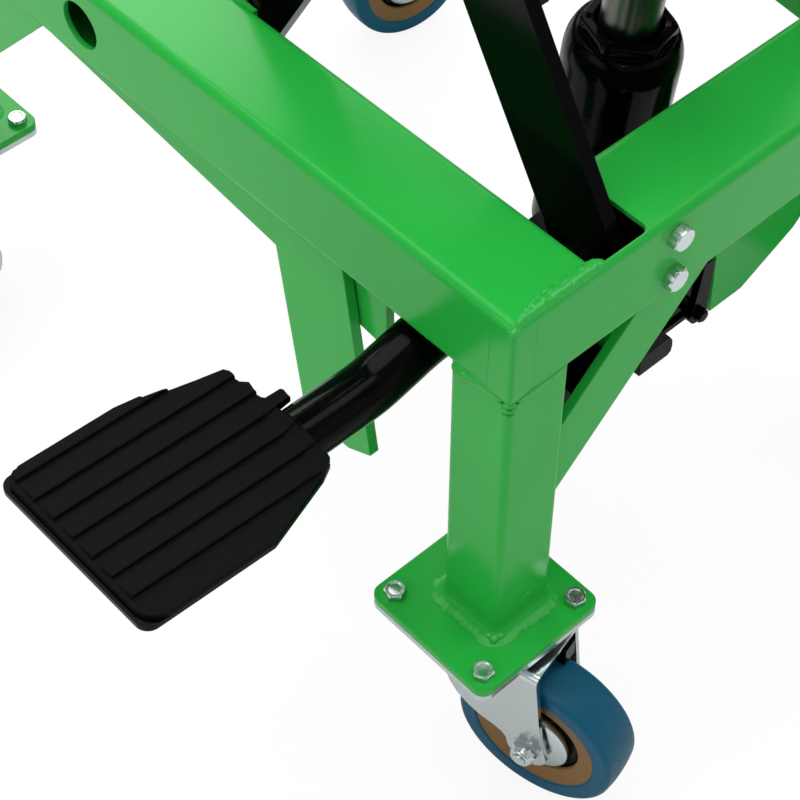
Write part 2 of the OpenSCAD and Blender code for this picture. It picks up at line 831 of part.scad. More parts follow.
// the block reaches under the tray and ends in a lip that stands up ahead of it
module pump_block() {
  x0 = pump_x - barrel_r - 4;
  x1 = x0 + barrel_r + 63;
  y0 = pump_y - block_w/2;
  lip_x = x1 - 24;
  color(black) place() difference() {
    union() {
      translate([x0, y0 + 14, block_low]) cube([x1 - x0, block_w - 14, block_d]);
      translate([0, 0, block_low]) slab_y(y0, hanger_y - gap - y0)
        polygon([[lip_x, 0], [x1 - 1, 0], [x1 + 1.4, 2], [x1 + 2, 6], [x1 + 1.4, 11], [x1 - 1, 15], [lip_x, 15]]);
      translate([lip_x, hanger_y - gap - 1, block_low]) cube([x1 - lip_x, 21, block_d]);
      translate([x0, y0, block_low]) cube([-tray_w/2 - gap - x0, block_w, block_d + tray_t + 17]);
      translate([pump_x, pump_y, tray_z]) cylinder(h = barrel_top - tray_z, r = barrel_r);
      translate([valve_x - 9, hanger_y + 2, tray_z]) cube([18, 20, 18]);
    }
    translate([pump_x, pump_y, block_low + 8]) cylinder(h = barrel_top - block_low, r = plunger_r + fit);
    translate([valve_x, hanger_y + 2, valve_z]) rod_y(-1, 12, valve_r + fit);
  }
}

module pump_plunger() {
  color(zinc) place() translate([pump_x, pump_y, 0]) {
    translate([0, 0, block_low + 24]) cylinder(h = head_top - block_low - 24, r = plunger_r);
    translate([0, 0, head_top - head_t]) cylinder(h = head_t, r = spring_r + 3);
  }
}

// the spring's wire is one closed tube, swept ring by ring
function spring_point(i, n) = let(a = 360*spring_turns*i/n)
  [spring_r*cos(a), spring_r*sin(a), spring_low + (spring_high - spring_low)*i/n];
function spring_ring(i, n) = let(a = 360*spring_turns*i/n, c = spring_point(i, n))
  [for (j = [0:5]) let(b = 60*j)
    [c[0] + wire_r*cos(b)*cos(a), c[1] + wire_r*cos(b)*sin(a), c[2] + wire_r*sin(b)]];

module pump_spring() {
  n = 8*spring_turns;
  points = [for (i = [0:n]) each spring_ring(i, n)];
  sides = [for (i = [0:n - 1], j = [0:5])
    [6*i + j, 6*(i + 1) + j, 6*(i + 1) + (j + 1)%6, 6*i + (j + 1)%6]];
  first = [for (j = [0:5]) j];
  last = [for (j = [5:-1:0]) 6*n + j];
  color(zinc) place() translate([pump_x, pump_y, 0]) polyhedron(points, concat(sides, [first], [last]));
}

spring_pitch = (spring_high - spring_low)/spring_turns;
echo("least gap of the spring to itself", spring_pitch - 2*wire_r);

module release_lever() {
  low = valve_z;
  color(black) place() {
    translate([valve_x, hanger_y + 2, valve_z]) {
      rod_y(-15, 11, valve_r);
      rod_y(-16, -15, valve_r - 1);
    }
    slab_y(hanger_y - 5 - gap - 4.5, 4.5) {
      translate([valve_x, valve_z]) circle(7);
      polygon([[valve_x - 6, valve_z], [valve_x + 6.5, valve_z], [valve_x + 7, valve_z + 36],
               [valve_x + 4, valve_z + 39], [valve_x - 1, valve_z + 38]]);
    }
  }
}

// Casters, drawn on the swivel axis with the wheel towards -y

module on_caster(i) {
  c = corner[i];
  translate([c[0]*plate_x, c[1]*plate_y, 0]) rotate([0, 0, c[2]]) children();
}

module caster_plates() {
  race = 6;
  color(zinc) place() four() {
    difference() {
      translate([0, 0, caster_h - caster_plate_t])
        linear_extrude(caster_plate_t) rounded(plate_size, plate_size, plate_r);
      plate_holes(caster_h - caster_plate_t, caster_plate_t);
    }
    translate([0, 0, caster_h - caster_plate_t - race]) cylinder(h = race, r1 = 23, r2 = 27);
    translate([0, 0, caster_h - 22]) cylinder(h = 18, r = 6);
    translate([0, 0, caster_h - 24.5]) cylinder(h = 5, r = 10);
  }
}

module caster_bolts() {
  color(zinc) place() four() for (x = [-1, 1], y = [-1, 1])
    translate([x*bolt_pitch/2, y*bolt_pitch/2, 0]) {
      translate([0, 0, plate_z + plate_t]) hex_bolt(nut_af, 4.2, 3, plate_t + caster_plate_t + 6);
      translate([0, 0, caster_h - caster_plate_t - 5]) cylinder(h = 5, r = nut_af/2/cos(30), $fn = 6);
    }
}

module fork_side() {
  top = crown_top;
  polygon([[-crown_front, top], [24, top], [21, top - 20], [8, top - 43], [3, top - 54], [-8, top - 62],
           [-22, wheel_r + 4], [-30, wheel_r - 6], [-trail - 9.5, wheel_r]]);
  translate([-trail, wheel_r]) circle(13);
}

module caster_fork(i) {
  side = wheel_w/2 + 4;
  color(zinc) place() on_caster(i) {
    difference() {
      union() {
        translate([0, 0, crown_top - fork_t]) cylinder(h = fork_t, r = 26);
        translate([-side - fork_t, -crown_front, crown_top - fork_t])
          cube([2*side + 2*fork_t, crown_front + 24, fork_t]);
        for (s = [0, 1]) mirror([s, 0, 0]) slab_x(side, fork_t) fork_side();
      }
      translate([0, 0, crown_top - 5]) cylinder(h = 8, r = 6 + fit);
    }
    translate([0, -trail, wheel_r]) {
      rod_x(-side - fork_t - 9, side + fork_t + 3, axle_r - 0.5);
      translate([-side - fork_t - 6.5, 0, 0]) rotate([0, 90, 0]) cylinder(h = 6.5, r = 8.5/cos(30), $fn = 6);
      rod_x(side + fork_t, side + fork_t + 4, 8);
    }
  }
}

module caster_tyre(i) {
  h = wheel_w/2;
  color(blue) place() on_caster(i) translate([0, -trail, wheel_r]) rotate([0, 90, 0])
    rotate_extrude($fn = 96) polygon([[hub_r, -h + 1], [hub_r + 1, -h], [wheel_r - 4, -h], [wheel_r - 1.8, -h + 1.2],
      [wheel_r - 0.6, -h + 4], [wheel_r, 0], [wheel_r - 0.6, h - 4], [wheel_r - 1.8, h - 1.2],
      [wheel_r - 4, h], [hub_r + 1, h], [hub_r, h - 1]]);
}

module caster_hub(i) {
  h = wheel_w/2;
  bore = axle_r - 0.5 + fit;
  half = [[bore, h + 3.5], [8, h + 3.5], [9, h + 2.5], [19, h + 1], [21.5, h - 0.5], [22, h - 7],
          [28, h - 7], [28.5, h - 1.5], [hub_r, h - 1]];
  other = [for (k = [len(half) - 1:-1:0]) [half[k][0], -half[k][1]]];
  color(tan_hub) place() on_caster(i) translate([0, -trail, wheel_r]) rotate([0, 90, 0])
    rotate_extrude($fn = 96) polygon(concat(half, other));
}

module caster_brake(i) {
  hinge = crown_top - 10;
  color(black) place() on_caster(i) translate([0, -brake_y, hinge]) {
    rod_x(-wheel_w/2 - 3, wheel_w/2 + 3, 3.5);
    slab_x(7, 10) difference() {
      polygon([[2, -4], [2, 3.5], [-13, 3.5], [-16, 3], [-16, -10.5], [-4, -12]]);
      translate([brake_y - trail, wheel_r - hinge]) circle(wheel_r + gap + 1);
    }
  }
}

module fork_front_left() { caster_fork(0); }
module fork_front_right() { caster_fork(1); }
module fork_rear_left() { caster_fork(2); }
module fork_rear_right() { caster_fork(3); }
module tyre_front_left() { caster_tyre(0); }
module tyre_front_right() { caster_tyre(1); }
module tyre_rear_left() { caster_tyre(2); }
module tyre_rear_right() { caster_tyre(3); }
module hub_front_left() { caster_hub(0); }
module hub_front_right() { caster_hub(1); }
module hub_rear_left() { caster_hub(2); }
module hub_rear_right() { caster_hub(3); }
module brake_front_left() { caster_brake(0); }
module brake_front_right() { caster_brake(1); }

front_rail();
rear_rail();
left_rail();
right_rail();
legs();
foot_plates();
leg_braces();
side_gussets();
jack_hanger_front();
tray_ribs();
jack_tray();
pedal_guard();
pivot_brackets();
pivot_bolts();
pivot_pins();
roller_tracks();
caster_plates();
caster_bolts();
pump_block();
pedal_riser();
inner_arm_left();
inner_arm_right();
lift_bar();
mid_shaft();
upper_rollers();
outer_arm_left();
outer_arm_right();
outer_cross_tube();
lower_rollers();
deck_channels();
deck_plate();
deck_pads();
deck_pins();
jack_body();
jack_gland();
jack_ram();
ram_saddle();
pedal_tube();
pedal_plate();
pedal_pad();
pump_plunger();
pump_spring();
release_lever();
fork_front_left();
fork_front_right();
fork_rear_left();
fork_rear_right();
tyre_front_left();
tyre_front_right();
tyre_rear_left();
tyre_rear_right();
hub_front_left();
hub_front_right();
hub_rear_left();
hub_rear_right();
brake_front_left();
brake_front_right();
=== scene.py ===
import json
import math
import random
import bmesh
import bpy
from mathutils import Matrix, Vector


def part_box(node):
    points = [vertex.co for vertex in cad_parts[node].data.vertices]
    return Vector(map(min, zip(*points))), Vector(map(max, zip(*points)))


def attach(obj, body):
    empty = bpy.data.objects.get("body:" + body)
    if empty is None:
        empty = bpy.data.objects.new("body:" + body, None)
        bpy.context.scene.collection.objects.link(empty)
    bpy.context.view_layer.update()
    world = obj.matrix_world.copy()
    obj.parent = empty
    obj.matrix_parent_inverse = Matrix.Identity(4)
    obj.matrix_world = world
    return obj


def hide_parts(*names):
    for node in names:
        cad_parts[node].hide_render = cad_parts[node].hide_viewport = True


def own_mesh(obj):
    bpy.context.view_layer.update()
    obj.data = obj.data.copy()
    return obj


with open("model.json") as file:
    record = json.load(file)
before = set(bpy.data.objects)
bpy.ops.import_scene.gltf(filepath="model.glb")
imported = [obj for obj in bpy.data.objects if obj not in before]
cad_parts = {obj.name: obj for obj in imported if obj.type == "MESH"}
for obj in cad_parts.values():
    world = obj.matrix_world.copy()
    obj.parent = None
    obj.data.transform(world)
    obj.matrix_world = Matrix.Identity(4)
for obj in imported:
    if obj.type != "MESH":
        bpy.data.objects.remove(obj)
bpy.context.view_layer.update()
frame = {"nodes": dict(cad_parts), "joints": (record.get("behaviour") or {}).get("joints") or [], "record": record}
joints = {joint["name"]: joint for joint in frame["joints"]}

# Places are given from the frame's near lower corner: x along the front rail, y along the left rail,
# z up from the rails' underside, all in millimetres
MM = 0.001
left_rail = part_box("left_rail")
front_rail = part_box("front_rail")
corner = Vector((left_rail[0].x, front_rail[0].y, left_rail[0].z))


def at(x, y, z):
    return corner + Vector((x, y, z)) * MM


def in_place(x=0.0, y=0.0, z=0.0):
    """A matrix that brings millimetres counted from the frame's near lower corner into the row's frame."""
    return Matrix.Translation(at(x, y, z))


def span(low, high):
    """The distance between two places of the frame, in millimetres."""
    return round((high - low) / MM, 2)


def joint_place(name):
    """Where a joint is, in millimetres from the frame's near lower corner."""
    return [round(c / MM, 1) for c in Vector(joints[name]["pos_m"]) - corner]


# The welded frame: its width and length over the rails, the tubes' sides and edge radii, and the level of
# the legs' feet
ACROSS = span(front_rail[0].x, front_rail[1].x)
ALONG = span(front_rail[0].y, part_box("rear_rail")[1].y)
RAIL = span(front_rail[0].z, front_rail[1].z)
RAIL_EDGE = 5.0
LEG = 40.0
LEG_EDGE = 4.0
LEG_FOOT = -span(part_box("legs")[0].z, corner.z)

QUARTER = math.pi / 2.0
WHITE = (1.0, 1.0, 1.0, 1.0)


# Materials


def new_material(name):
    mat = bpy.data.materials.new(name)
    mat.use_nodes = True
    nodes = mat.node_tree.nodes
    nodes.clear()
    return mat, nodes, mat.node_tree.links


def node(nodes, kind, **inputs):
    """A new node, with values for its inputs by their names."""
    made = nodes.new(kind)
    for key, value in inputs.items():
        made.inputs[key.replace("_", " ")].default_value = value
    return made


def calculate(nodes, links, operation, first, second=None):
    """A math node on one or two outputs or numbers."""
    made = nodes.new("ShaderNodeMath")
    made.operation = operation
    for socket, value in zip(made.inputs, (first, second)):
        if value is None:
            continue
        if isinstance(value, (int, float)):
            socket.default_value = value
        else:
            links.new(value, socket)
    return made.outputs["Value"]


def colour_mix(nodes, links, factor, first, second):
    """A mix from a first colour, given as numbers or as another mix, to a second one given as numbers."""
    made = nodes.new("ShaderNodeMix")
    made.data_type = "RGBA"
    links.new(factor, made.inputs["Factor"])
    if isinstance(first, tuple):
        made.inputs["A"].default_value = first
    else:
        links.new(first, made.inputs["A"])
    made.inputs["B"].default_value = second
    return made.outputs["Result"]


def relief(nodes, links, height, normal, strength, depth):
    """A relief of some depth, in metres, laid over a normal."""
    made = node(nodes, "ShaderNodeBump", Strength=strength, Distance=depth)
    links.new(height, made.inputs["Height"])
    links.new(normal, made.inputs["Normal"])
    return made.outputs["Normal"]


def tone(colour, share, white=0.0):
    """A colour made darker or lighter by a share, with some white added, and full alpha."""
    return (*[min(1.0, white + share * c) for c in colour], 1.0)


# Depths of a surface's fine relief and of a pattern in metres, and the pattern's strength
GRAIN_DEPTH = 0.001
PATTERN_DEPTH = 0.0004
PATTERN_STRENGTH = 0.32


def surface(name, colour, rough, grain, bump, vary, metal=0.0, round_edge=0.0006, rough_vary=0.08,
            specular=0.5, worn=0.2, pattern=None):
    """A painted, plated or moulded surface: soft changes of colour and gloss, a fine relief, edges that are
    rounded by round_edge in metres and a little lighter, and a pattern's relief where one is given."""
    mat, nodes, links = new_material(name)
    coords = nodes.new("ShaderNodeTexCoord")
    broad = node(nodes, "ShaderNodeTexNoise", Scale=14.0, Detail=4.0)
    fine = node(nodes, "ShaderNodeTexNoise", Scale=grain, Detail=2.0)
    for noise in (broad, fine):
        links.new(coords.outputs["Object"], noise.inputs["Vector"])
    darker = tone(colour, 1.0 - vary)
    lighter = tone(colour, 1.0 + vary)
    tint = colour_mix(nodes, links, broad.outputs["Fac"], darker, lighter)
    gloss = node(nodes, "ShaderNodeMapRange", To_Min=max(0.02, rough - rough_vary),
                 To_Max=min(1.0, rough + rough_vary))
    links.new(broad.outputs["Fac"], gloss.inputs["Value"])

    edge = node(nodes, "ShaderNodeBevel", Radius=round_edge)
    edge.samples = 4
    flat = nodes.new("ShaderNodeNewGeometry")
    likeness = nodes.new("ShaderNodeVectorMath")
    likeness.operation = "DOT_PRODUCT"
    links.new(edge.outputs["Normal"], likeness.inputs[0])
    links.new(flat.outputs["Normal"], likeness.inputs[1])
    rim = node(nodes, "ShaderNodeMapRange", From_Min=0.98, From_Max=0.80, To_Min=0.0, To_Max=worn)
    links.new(likeness.outputs["Value"], rim.inputs["Value"])
    wear = colour_mix(nodes, links, rim.outputs["Result"], tint, tone(colour, 0.75, white=0.25))

    normal = relief(nodes, links, fine.outputs["Fac"], edge.outputs["Normal"], bump, GRAIN_DEPTH)
    if pattern:
        marks = pattern(nodes, links, coords)
        normal = relief(nodes, links, marks, normal, PATTERN_STRENGTH, PATTERN_DEPTH)
    shader = node(nodes, "ShaderNodeBsdfPrincipled", Metallic=metal, Specular_IOR_Level=specular)
    links.new(wear, shader.inputs["Base Color"])
    links.new(gloss.outputs["Result"], shader.inputs["Roughness"])
    links.new(normal, shader.inputs["Normal"])
    out = nodes.new("ShaderNodeOutputMaterial")
    links.new(shader.outputs["BSDF"], out.inputs["Surface"])
    return mat


def tread_hatch(nodes, links, coords):
    """Crossed fine grooves on the tread, on a map of the way round and the way across in decimetres."""
    pitch = 0.017
    slope = 0.6
    split = nodes.new("ShaderNodeSeparateXYZ")
    links.new(coords.outputs["UV"], split.inputs["Vector"])
    waves = []
    for sign in (1.0, -1.0):
        across = calculate(nodes, links, "MULTIPLY", split.outputs["Y"], sign * slope)
        run = calculate(nodes, links, "ADD", split.outputs["X"], across)
        angle = calculate(nodes, links, "MULTIPLY", run, 2.0 * math.pi / pitch)
        waves.append(calculate(nodes, links, "SINE", angle))
    crossed = calculate(nodes, links, "MAXIMUM", *waves)
    aside = calculate(nodes, links, "ABSOLUTE", split.outputs["Y"])
    inside = node(nodes, "ShaderNodeMapRange", From_Min=0.09, From_Max=0.13, To_Min=1.0, To_Max=0.0)
    links.new(aside, inside.inputs["Value"])
    return calculate(nodes, links, "MULTIPLY", crossed, inside.outputs["Result"])


def green_paint():
    return surface("green_paint", (0.019, 0.41, 0.050), 0.20, grain=420.0, bump=0.05, vary=0.05,
                   specular=0.17, round_edge=0.0012)


def weld_paint():
    return surface("weld_paint", (0.019, 0.40, 0.050), 0.12, grain=300.0, bump=0.14, vary=0.08,
                   specular=0.38, worn=0.0)


def black_paint():
    return surface("black_paint", (0.0008, 0.0008, 0.0010), 0.14, grain=500.0, bump=0.04, vary=0.3,
                   specular=0.065, worn=0.02)


def zinc_plate():
    return surface("zinc_plate", (0.57, 0.63, 0.63), 0.20, metal=1.0, grain=700.0, bump=0.05, vary=0.16,
                   round_edge=0.0002, rough_vary=0.12, worn=0.12)


def ground_steel():
    return surface("ground_steel", (0.150, 0.142, 0.128), 0.30, metal=1.0, grain=1500.0, bump=0.05,
                   vary=0.25, rough_vary=0.12, worn=0.1)


def oiled_steel():
    return surface("oiled_pin", (0.020, 0.020, 0.021), 0.30, metal=1.0, grain=900.0, bump=0.08, vary=0.3,
                   worn=0.03)


def pad_rubber():
    return surface("pad_rubber", (0.0034, 0.0035, 0.0042), 0.60, grain=1300.0, bump=0.35, vary=0.35,
                   round_edge=0.0005, specular=0.045, worn=0.02)


def tyre_rubber():
    return surface("tyre_rubber", (0.003, 0.088, 0.160), 0.34, grain=900.0, bump=0.08, vary=0.10,
                   specular=0.15, worn=0.04, pattern=tread_hatch)


def hub_nylon():
    return surface("hub_nylon", (0.222, 0.114, 0.034), 0.42, grain=800.0, bump=0.10, vary=0.12,
                   specular=0.25, worn=0.06)


looks = {
    "frame_green": green_paint(),
    "black_enamel": black_paint(),
    "zinc_plated": zinc_plate(),
    "ground_steel": ground_steel(),
    "rubber_black": pad_rubber(),
    "tyre_blue": tyre_rubber(),
    "hub_tan": hub_nylon(),
}
weld_look = weld_paint()
slots = {part["node"]: part["material_slot"] for part in frame["record"]["subparts"]}


def dress(obj, slot_name):
    obj.data.materials.clear()
    obj.data.materials.append(looks[slot_name])


for name, obj in frame["nodes"].items():
    dress(obj, slots[name])
frame["nodes"]["pivot_pins"].data.materials[0] = oiled_steel()


# Shape helpers. A part is a pair: its points in millimetres, and its faces

# Radius at which a turned profile ends on its axis
AXIS = 0.01


def add_mesh(name, points, faces, slot_name, body, place=None, sharp=32.0):
    """Makes a mesh from points in millimetres, dresses it and fixes it to a body."""
    mesh = bpy.data.meshes.new(name)
    mesh.from_pydata([Vector(p) * MM for p in points], [], faces)
    shape = bmesh.new()
    shape.from_mesh(mesh)
    bmesh.ops.recalc_face_normals(shape, faces=shape.faces)
    shape.to_mesh(mesh)
    shape.free()
    for face in mesh.polygons:
        face.use_smooth = True
    mesh.set_sharp_from_angle(angle=math.radians(sharp))
    obj = bpy.data.objects.new(name, mesh)
    bpy.context.collection.objects.link(obj)
    if place is not None:
        mesh.transform(place)
    dress(obj, slot_name)
    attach(obj, body)
    return obj


def shift(x, y, z):
    return Matrix.Translation((x, y, z))


def turned(angle, axis):
    return Matrix.Rotation(angle, 4, axis)


def round_turns(steps):
    """Angles at even steps all the way round."""
    return [2.0 * math.pi * k / steps for k in range(steps)]


def arc(centre, radius, start, end, steps):
    """Points on an arc, angles in degrees."""
    turns = [math.radians(start + (end - start) * k / steps) for k in range(steps + 1)]
    return [(centre[0] + radius * math.cos(t), centre[1] + radius * math.sin(t)) for t in turns]


def spin(profile, steps):
    """A part from a profile of (x, radius) turned about the x axis, open at the profile's ends."""
    points = []
    for turn in round_turns(steps):
        points += [(x, r * math.cos(turn), r * math.sin(turn)) for x, r in profile]
    count = len(profile)
    faces = []
    for k in range(steps):
        a = k * count
        b = (k + 1) % steps * count
        faces += [(a + i, a + i + 1, b + i + 1, b + i) for i in range(count - 1)]
    return points, faces


def ring_profile(profile):
    """A closed profile, for a ring that doesn't reach the axis."""
    return profile + profile[:1]


def mirrored(half):
    """The other half of a profile of (x, radius), running back."""
    return [(-x, r) for x, r in reversed(half)]


def skinned(rings, ends="capped"):
    """A part from rings of equally many points. Its ends are capped, open, or joined to each other."""
    size = len(rings[0])
    count = len(rings)
    points = [tuple(p) for ring in rings for p in ring]
    faces = []
    for k in range(count if ends == "joined" else count - 1):
        a = k * size
        b = (k + 1) % count * size
        faces += [(a + j, a + (j + 1) % size, b + (j + 1) % size, b + j) for j in range(size)]
    if ends == "capped":
        faces.append(tuple(range(size - 1, -1, -1)))
        faces.append(tuple(range(len(points) - size, len(points))))
    return points, faces


def sheet_piece(outline, low, high):
    """A flat outline of (y, z), given thickness along x."""
    return skinned([[(x, y, z) for y, z in outline] for x in (low, high)])


def joined(*parts):
    """Several parts as one."""
    points = []
    faces = []
    for more_points, more_faces in parts:
        base = len(points)
        points += more_points
        faces += [tuple(base + i for i in face) for face in more_faces]
    return points, faces


def moved(part, place):
    """A part moved by a matrix in millimetres."""
    points, faces = part
    return [tuple(place @ Vector(p)) for p in points], faces


def hex_radius(flats, turn):
    """How far a hexagon reaches from its middle at an angle, from its size over the flats."""
    return flats / 2.0 / math.cos((turn + math.pi / 6.0) % (math.pi / 3.0) - math.pi / 6.0)


def hex_head(flats, height, washer=0.0, dip=0.45):
    """A hexagon head standing on z = 0, with its top corners turned off as on a real bolt and a bare,
    slightly dipped top. With washer it stands on a flange of that radius."""
    washer_t = 0.8
    chamfer = 0.5
    corner_fall = 0.7
    crown = flats / 2.0 * 0.96
    turns = round_turns(48)

    def circle(radius, z):
        return [(radius * math.cos(t), radius * math.sin(t), z) for t in turns]

    rings = [circle(washer, 0.0), circle(washer, washer_t)] if washer else []
    base = washer_t if washer else 0.0
    side = [(hex_radius(flats, t), t) for t in turns]
    rings.append([(r * math.cos(t), r * math.sin(t), base) for r, t in side])
    rings.append([(r * math.cos(t), r * math.sin(t), height - chamfer - max(0.0, r - crown) * corner_fall)
                  for r, t in side])
    for share, drop in ((1.0, 0.0), (0.80, 0.0), (0.70, dip), (0.20, dip * 1.4)):
        rings.append(circle(crown * share, height - drop))
    return skinned(rings)


def swept(path, radius, steps):
    """A round bar that follows a path at one y, closed at both ends."""
    places = [Vector(p) for p in path]
    side = Vector((0.0, 1.0, 0.0))
    turns = round_turns(steps)
    rings = []
    for i, here in enumerate(places):
        ahead = (places[min(i + 1, len(places) - 1)] - places[max(i - 1, 0)]).normalized()
        up = side.cross(ahead)
        rings.append([here + side * radius * math.cos(t) + up * radius * math.sin(t) for t in turns])
    return skinned(rings)


def smooth_path(knots, steps):
    """A smooth curve through the knots, each stretch in that many steps."""
    ends = [knots[0]] + list(knots) + [knots[-1]]
    out = []
    for i in range(1, len(ends) - 2):
        a, b, c, d = (Vector(ends[i + k]) for k in (-1, 0, 1, 2))
        for k in range(steps):
            t = k / steps
            out.append(0.5 * ((2.0 * b) + (c - a) * t + (2.0 * a - 5.0 * b + 4.0 * c - d) * t * t
                              + (3.0 * b - a - 3.0 * c + d) * t * t * t))
    out.append(Vector(knots[-1]))
    return out


def ramp(value, low, high):
    """From 0 at low to 1 at high, smoothly."""
    t = max(0.0, min(1.0, (value - low) / (high - low)))
    return t * t * (3.0 - 2.0 * t)


def read_off(table, value):
    """The value between the nearest two entries of a table of pairs."""
    if value <= table[0][0]:
        return table[0][1]
    for (a, p), (b, q) in zip(table, table[1:]):
        if value <= b:
            return p + (q - p) * (value - a) / (b - a) if b > a else q
    return table[-1][1]


# Casters

# The wheel's radius and width, how far its axle trails the swivel, the hub's radius, the fork's top over
# the ground, its sheet and its half width
CASTERS = ("front_left", "front_right", "rear_left", "rear_right")
WHEEL_R = 50.0
WHEEL_W = 30.0
TRAIL = 44.0
HUB_R = 37.5
TYRE_STEPS = 144
CROWN_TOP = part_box("fork_front_left")[1].z / MM
FORK_T = 3.0
FORK_SIDE = 22.0


def caster_place(key):
    """The caster's frame on the ground under its swivel, with x along the axle."""
    swivel = joints["swivel_" + key]["pos_m"]
    axis = joints["roll_" + key]["axis"]
    return shift(swivel[0], swivel[1], 0.0) @ turned(math.atan2(axis[1], axis[0]), "Z")


def tyre_profile():
    h = WHEEL_W / 2.0
    r = WHEEL_R
    shoulder_r = 3.2
    shoulder = arc((h - shoulder_r, r - 4.2), shoulder_r, 0.0, 78.0, 6)
    half = [(h - 1.0, HUB_R), (h, HUB_R + 1.0), (h, r - 5.0)] + shoulder
    half += [(h - 6.0, r - 0.55), (h - 10.0, r - 0.12)]
    return ring_profile(half + [(0.0, r)] + mirrored(half))


def map_tread(obj, profile, steps):
    """Gives the tyre a map: the way round and the way across from the tread's middle, in decimetres."""
    decimetre = 100.0
    runs = [0.0]
    for (x0, r0), (x1, r1) in zip(profile, profile[1:]):
        runs.append(runs[-1] + math.hypot(x1 - x0, r1 - r0))
    middle = runs[profile.index((0.0, WHEEL_R))]
    count = len(profile)
    layer = obj.data.uv_layers.new(name="tread")
    for face in obj.data.polygons:
        sector = face.index // (count - 1)
        for loop in face.loop_indices:
            turn, along = divmod(obj.data.loops[loop].vertex_index, count)
            if turn == 0 and sector == steps - 1:
                turn = steps
            way_round = 2.0 * math.pi * WHEEL_R * turn / steps
            layer.data[loop].uv = (way_round / decimetre, (runs[along] - middle) / decimetre)


def hub_part():
    h = WHEEL_W / 2.0
    half = [(h - 1.0, HUB_R + 0.05), (h - 1.5, HUB_R - 1.0), (h - 2.2, HUB_R - 4.0), (h - 2.7, 29.5),
            (h - 3.0, 27.4), (h - 3.7, 26.8), (h - 8.0, 26.4), (h - 9.0, 26.0), (h - 9.0, 7.0)]
    return spin(ring_profile(half + mirrored(half)), 96)


def recess_shade_part():
    """A black ring laid in the recess between the hub's ring and the bearing's cover: painted shade of the deep
    recess.
    """
    h = WHEEL_W / 2.0
    return spin(ring_profile([(h - 4.6, 26.75), (h - 6.6, 26.2), (h - 7.6, 25.0), (h - 7.9, 20.0),
                              (h - 8.8, 20.0), (h - 8.8, 26.75)]), 72)


def cover_part():
    """The bearing's pressed cover."""
    h = WHEEL_W / 2.0
    return spin(ring_profile([(h - 8.5, 21.9), (h - 1.5, 21.9), (h - 0.4, 21.6), (h + 0.4, 20.6),
                              (h + 0.9, 19.0), (h + 1.6, 13.0), (h + 2.2, 9.4), (h + 3.4, 8.6),
                              (h + 3.6, 8.0), (h + 3.6, 5.0), (h - 8.5, 5.0)]), 72)


def on_side(part, side):
    """A wheel's part on its near side, -1, or its far side, 1."""
    points, faces = part
    return [(side * x, y, z) for x, y, z in points], faces


def fork_part():
    """The pressed fork: a bent crown plate and two legs that narrow down to the axle."""
    bend = 5.0
    bend_steps = 6
    top = CROWN_TOP
    front = -TRAIL - 2.5
    back = 24.0
    left_bend = (-FORK_SIDE + bend, top - bend)
    right_bend = (FORK_SIDE - bend, top - bend)
    outer = arc(left_bend, bend, 180.0, 90.0, bend_steps) + arc(right_bend, bend, 90.0, 0.0, bend_steps)
    inner = (arc(right_bend, bend - FORK_T, 0.0, 90.0, bend_steps)
             + arc(left_bend, bend - FORK_T, 90.0, 180.0, bend_steps))
    section = outer + inner
    count = len(section)
    points, faces = skinned([[(x, y, z) for x, z in section] for y in (front, back)], "open")
    for base in (0, count):
        faces += [(base + i, base + i + 1, base + count - 2 - i, base + count - 1 - i)
                  for i in range(len(outer) - 1)]
    crown = (points, faces)

    foot_r = 13.0
    foot = arc((-TRAIL, WHEEL_R), foot_r, 190.0, 340.0, 12)
    back_edge = [(-30.5, 1.0), (-27.0, 4.6), (-22.0, 6.6), (-14.0, 8.6), (-6.0, 12.5), (1.5, 18.5),
                 (6.5, 26.0), (10.5, 36.0), (18.0, 52.0)]
    outline = [(front, top - bend), (-TRAIL - 8.0, WHEEL_R + 14.0)] + foot
    outline += [(y, WHEEL_R + rise) for y, rise in back_edge] + [(back, top - 9.0), (back, top - bend)]
    inside = FORK_SIDE - FORK_T
    return joined(crown, sheet_piece(outline, -FORK_SIDE, -inside), sheet_piece(outline, inside, FORK_SIDE))


def axle_part():
    """The axle bolt: its flanged lock nut and stud on the near leg, and its head on the far one."""
    nut = moved(hex_head(14.6, 5.6, washer=8.6), turned(0.3, "Z"))
    collar = spin([(5.0, 6.7), (6.3, 6.6), (7.5, 6.0), (8.0, 5.2), (7.9, 4.2), (7.5, 4.1), (7.5, AXIS)], 40)
    stud = spin([(0.0, 3.9), (8.4, 3.9), (9.0, 3.3), (9.0, AXIS)], 24)
    near = shift(-FORK_SIDE, -TRAIL, WHEEL_R)
    far = shift(FORK_SIDE, -TRAIL, WHEEL_R)
    outward = near @ turned(math.pi, "Z")
    seated = near @ turned(-QUARTER, "Y")
    head = moved(hex_head(14.0, 6.6), far @ turned(QUARTER, "Y"))
    return joined(moved(nut, seated), moved(collar, outward), moved(stud, outward), head)


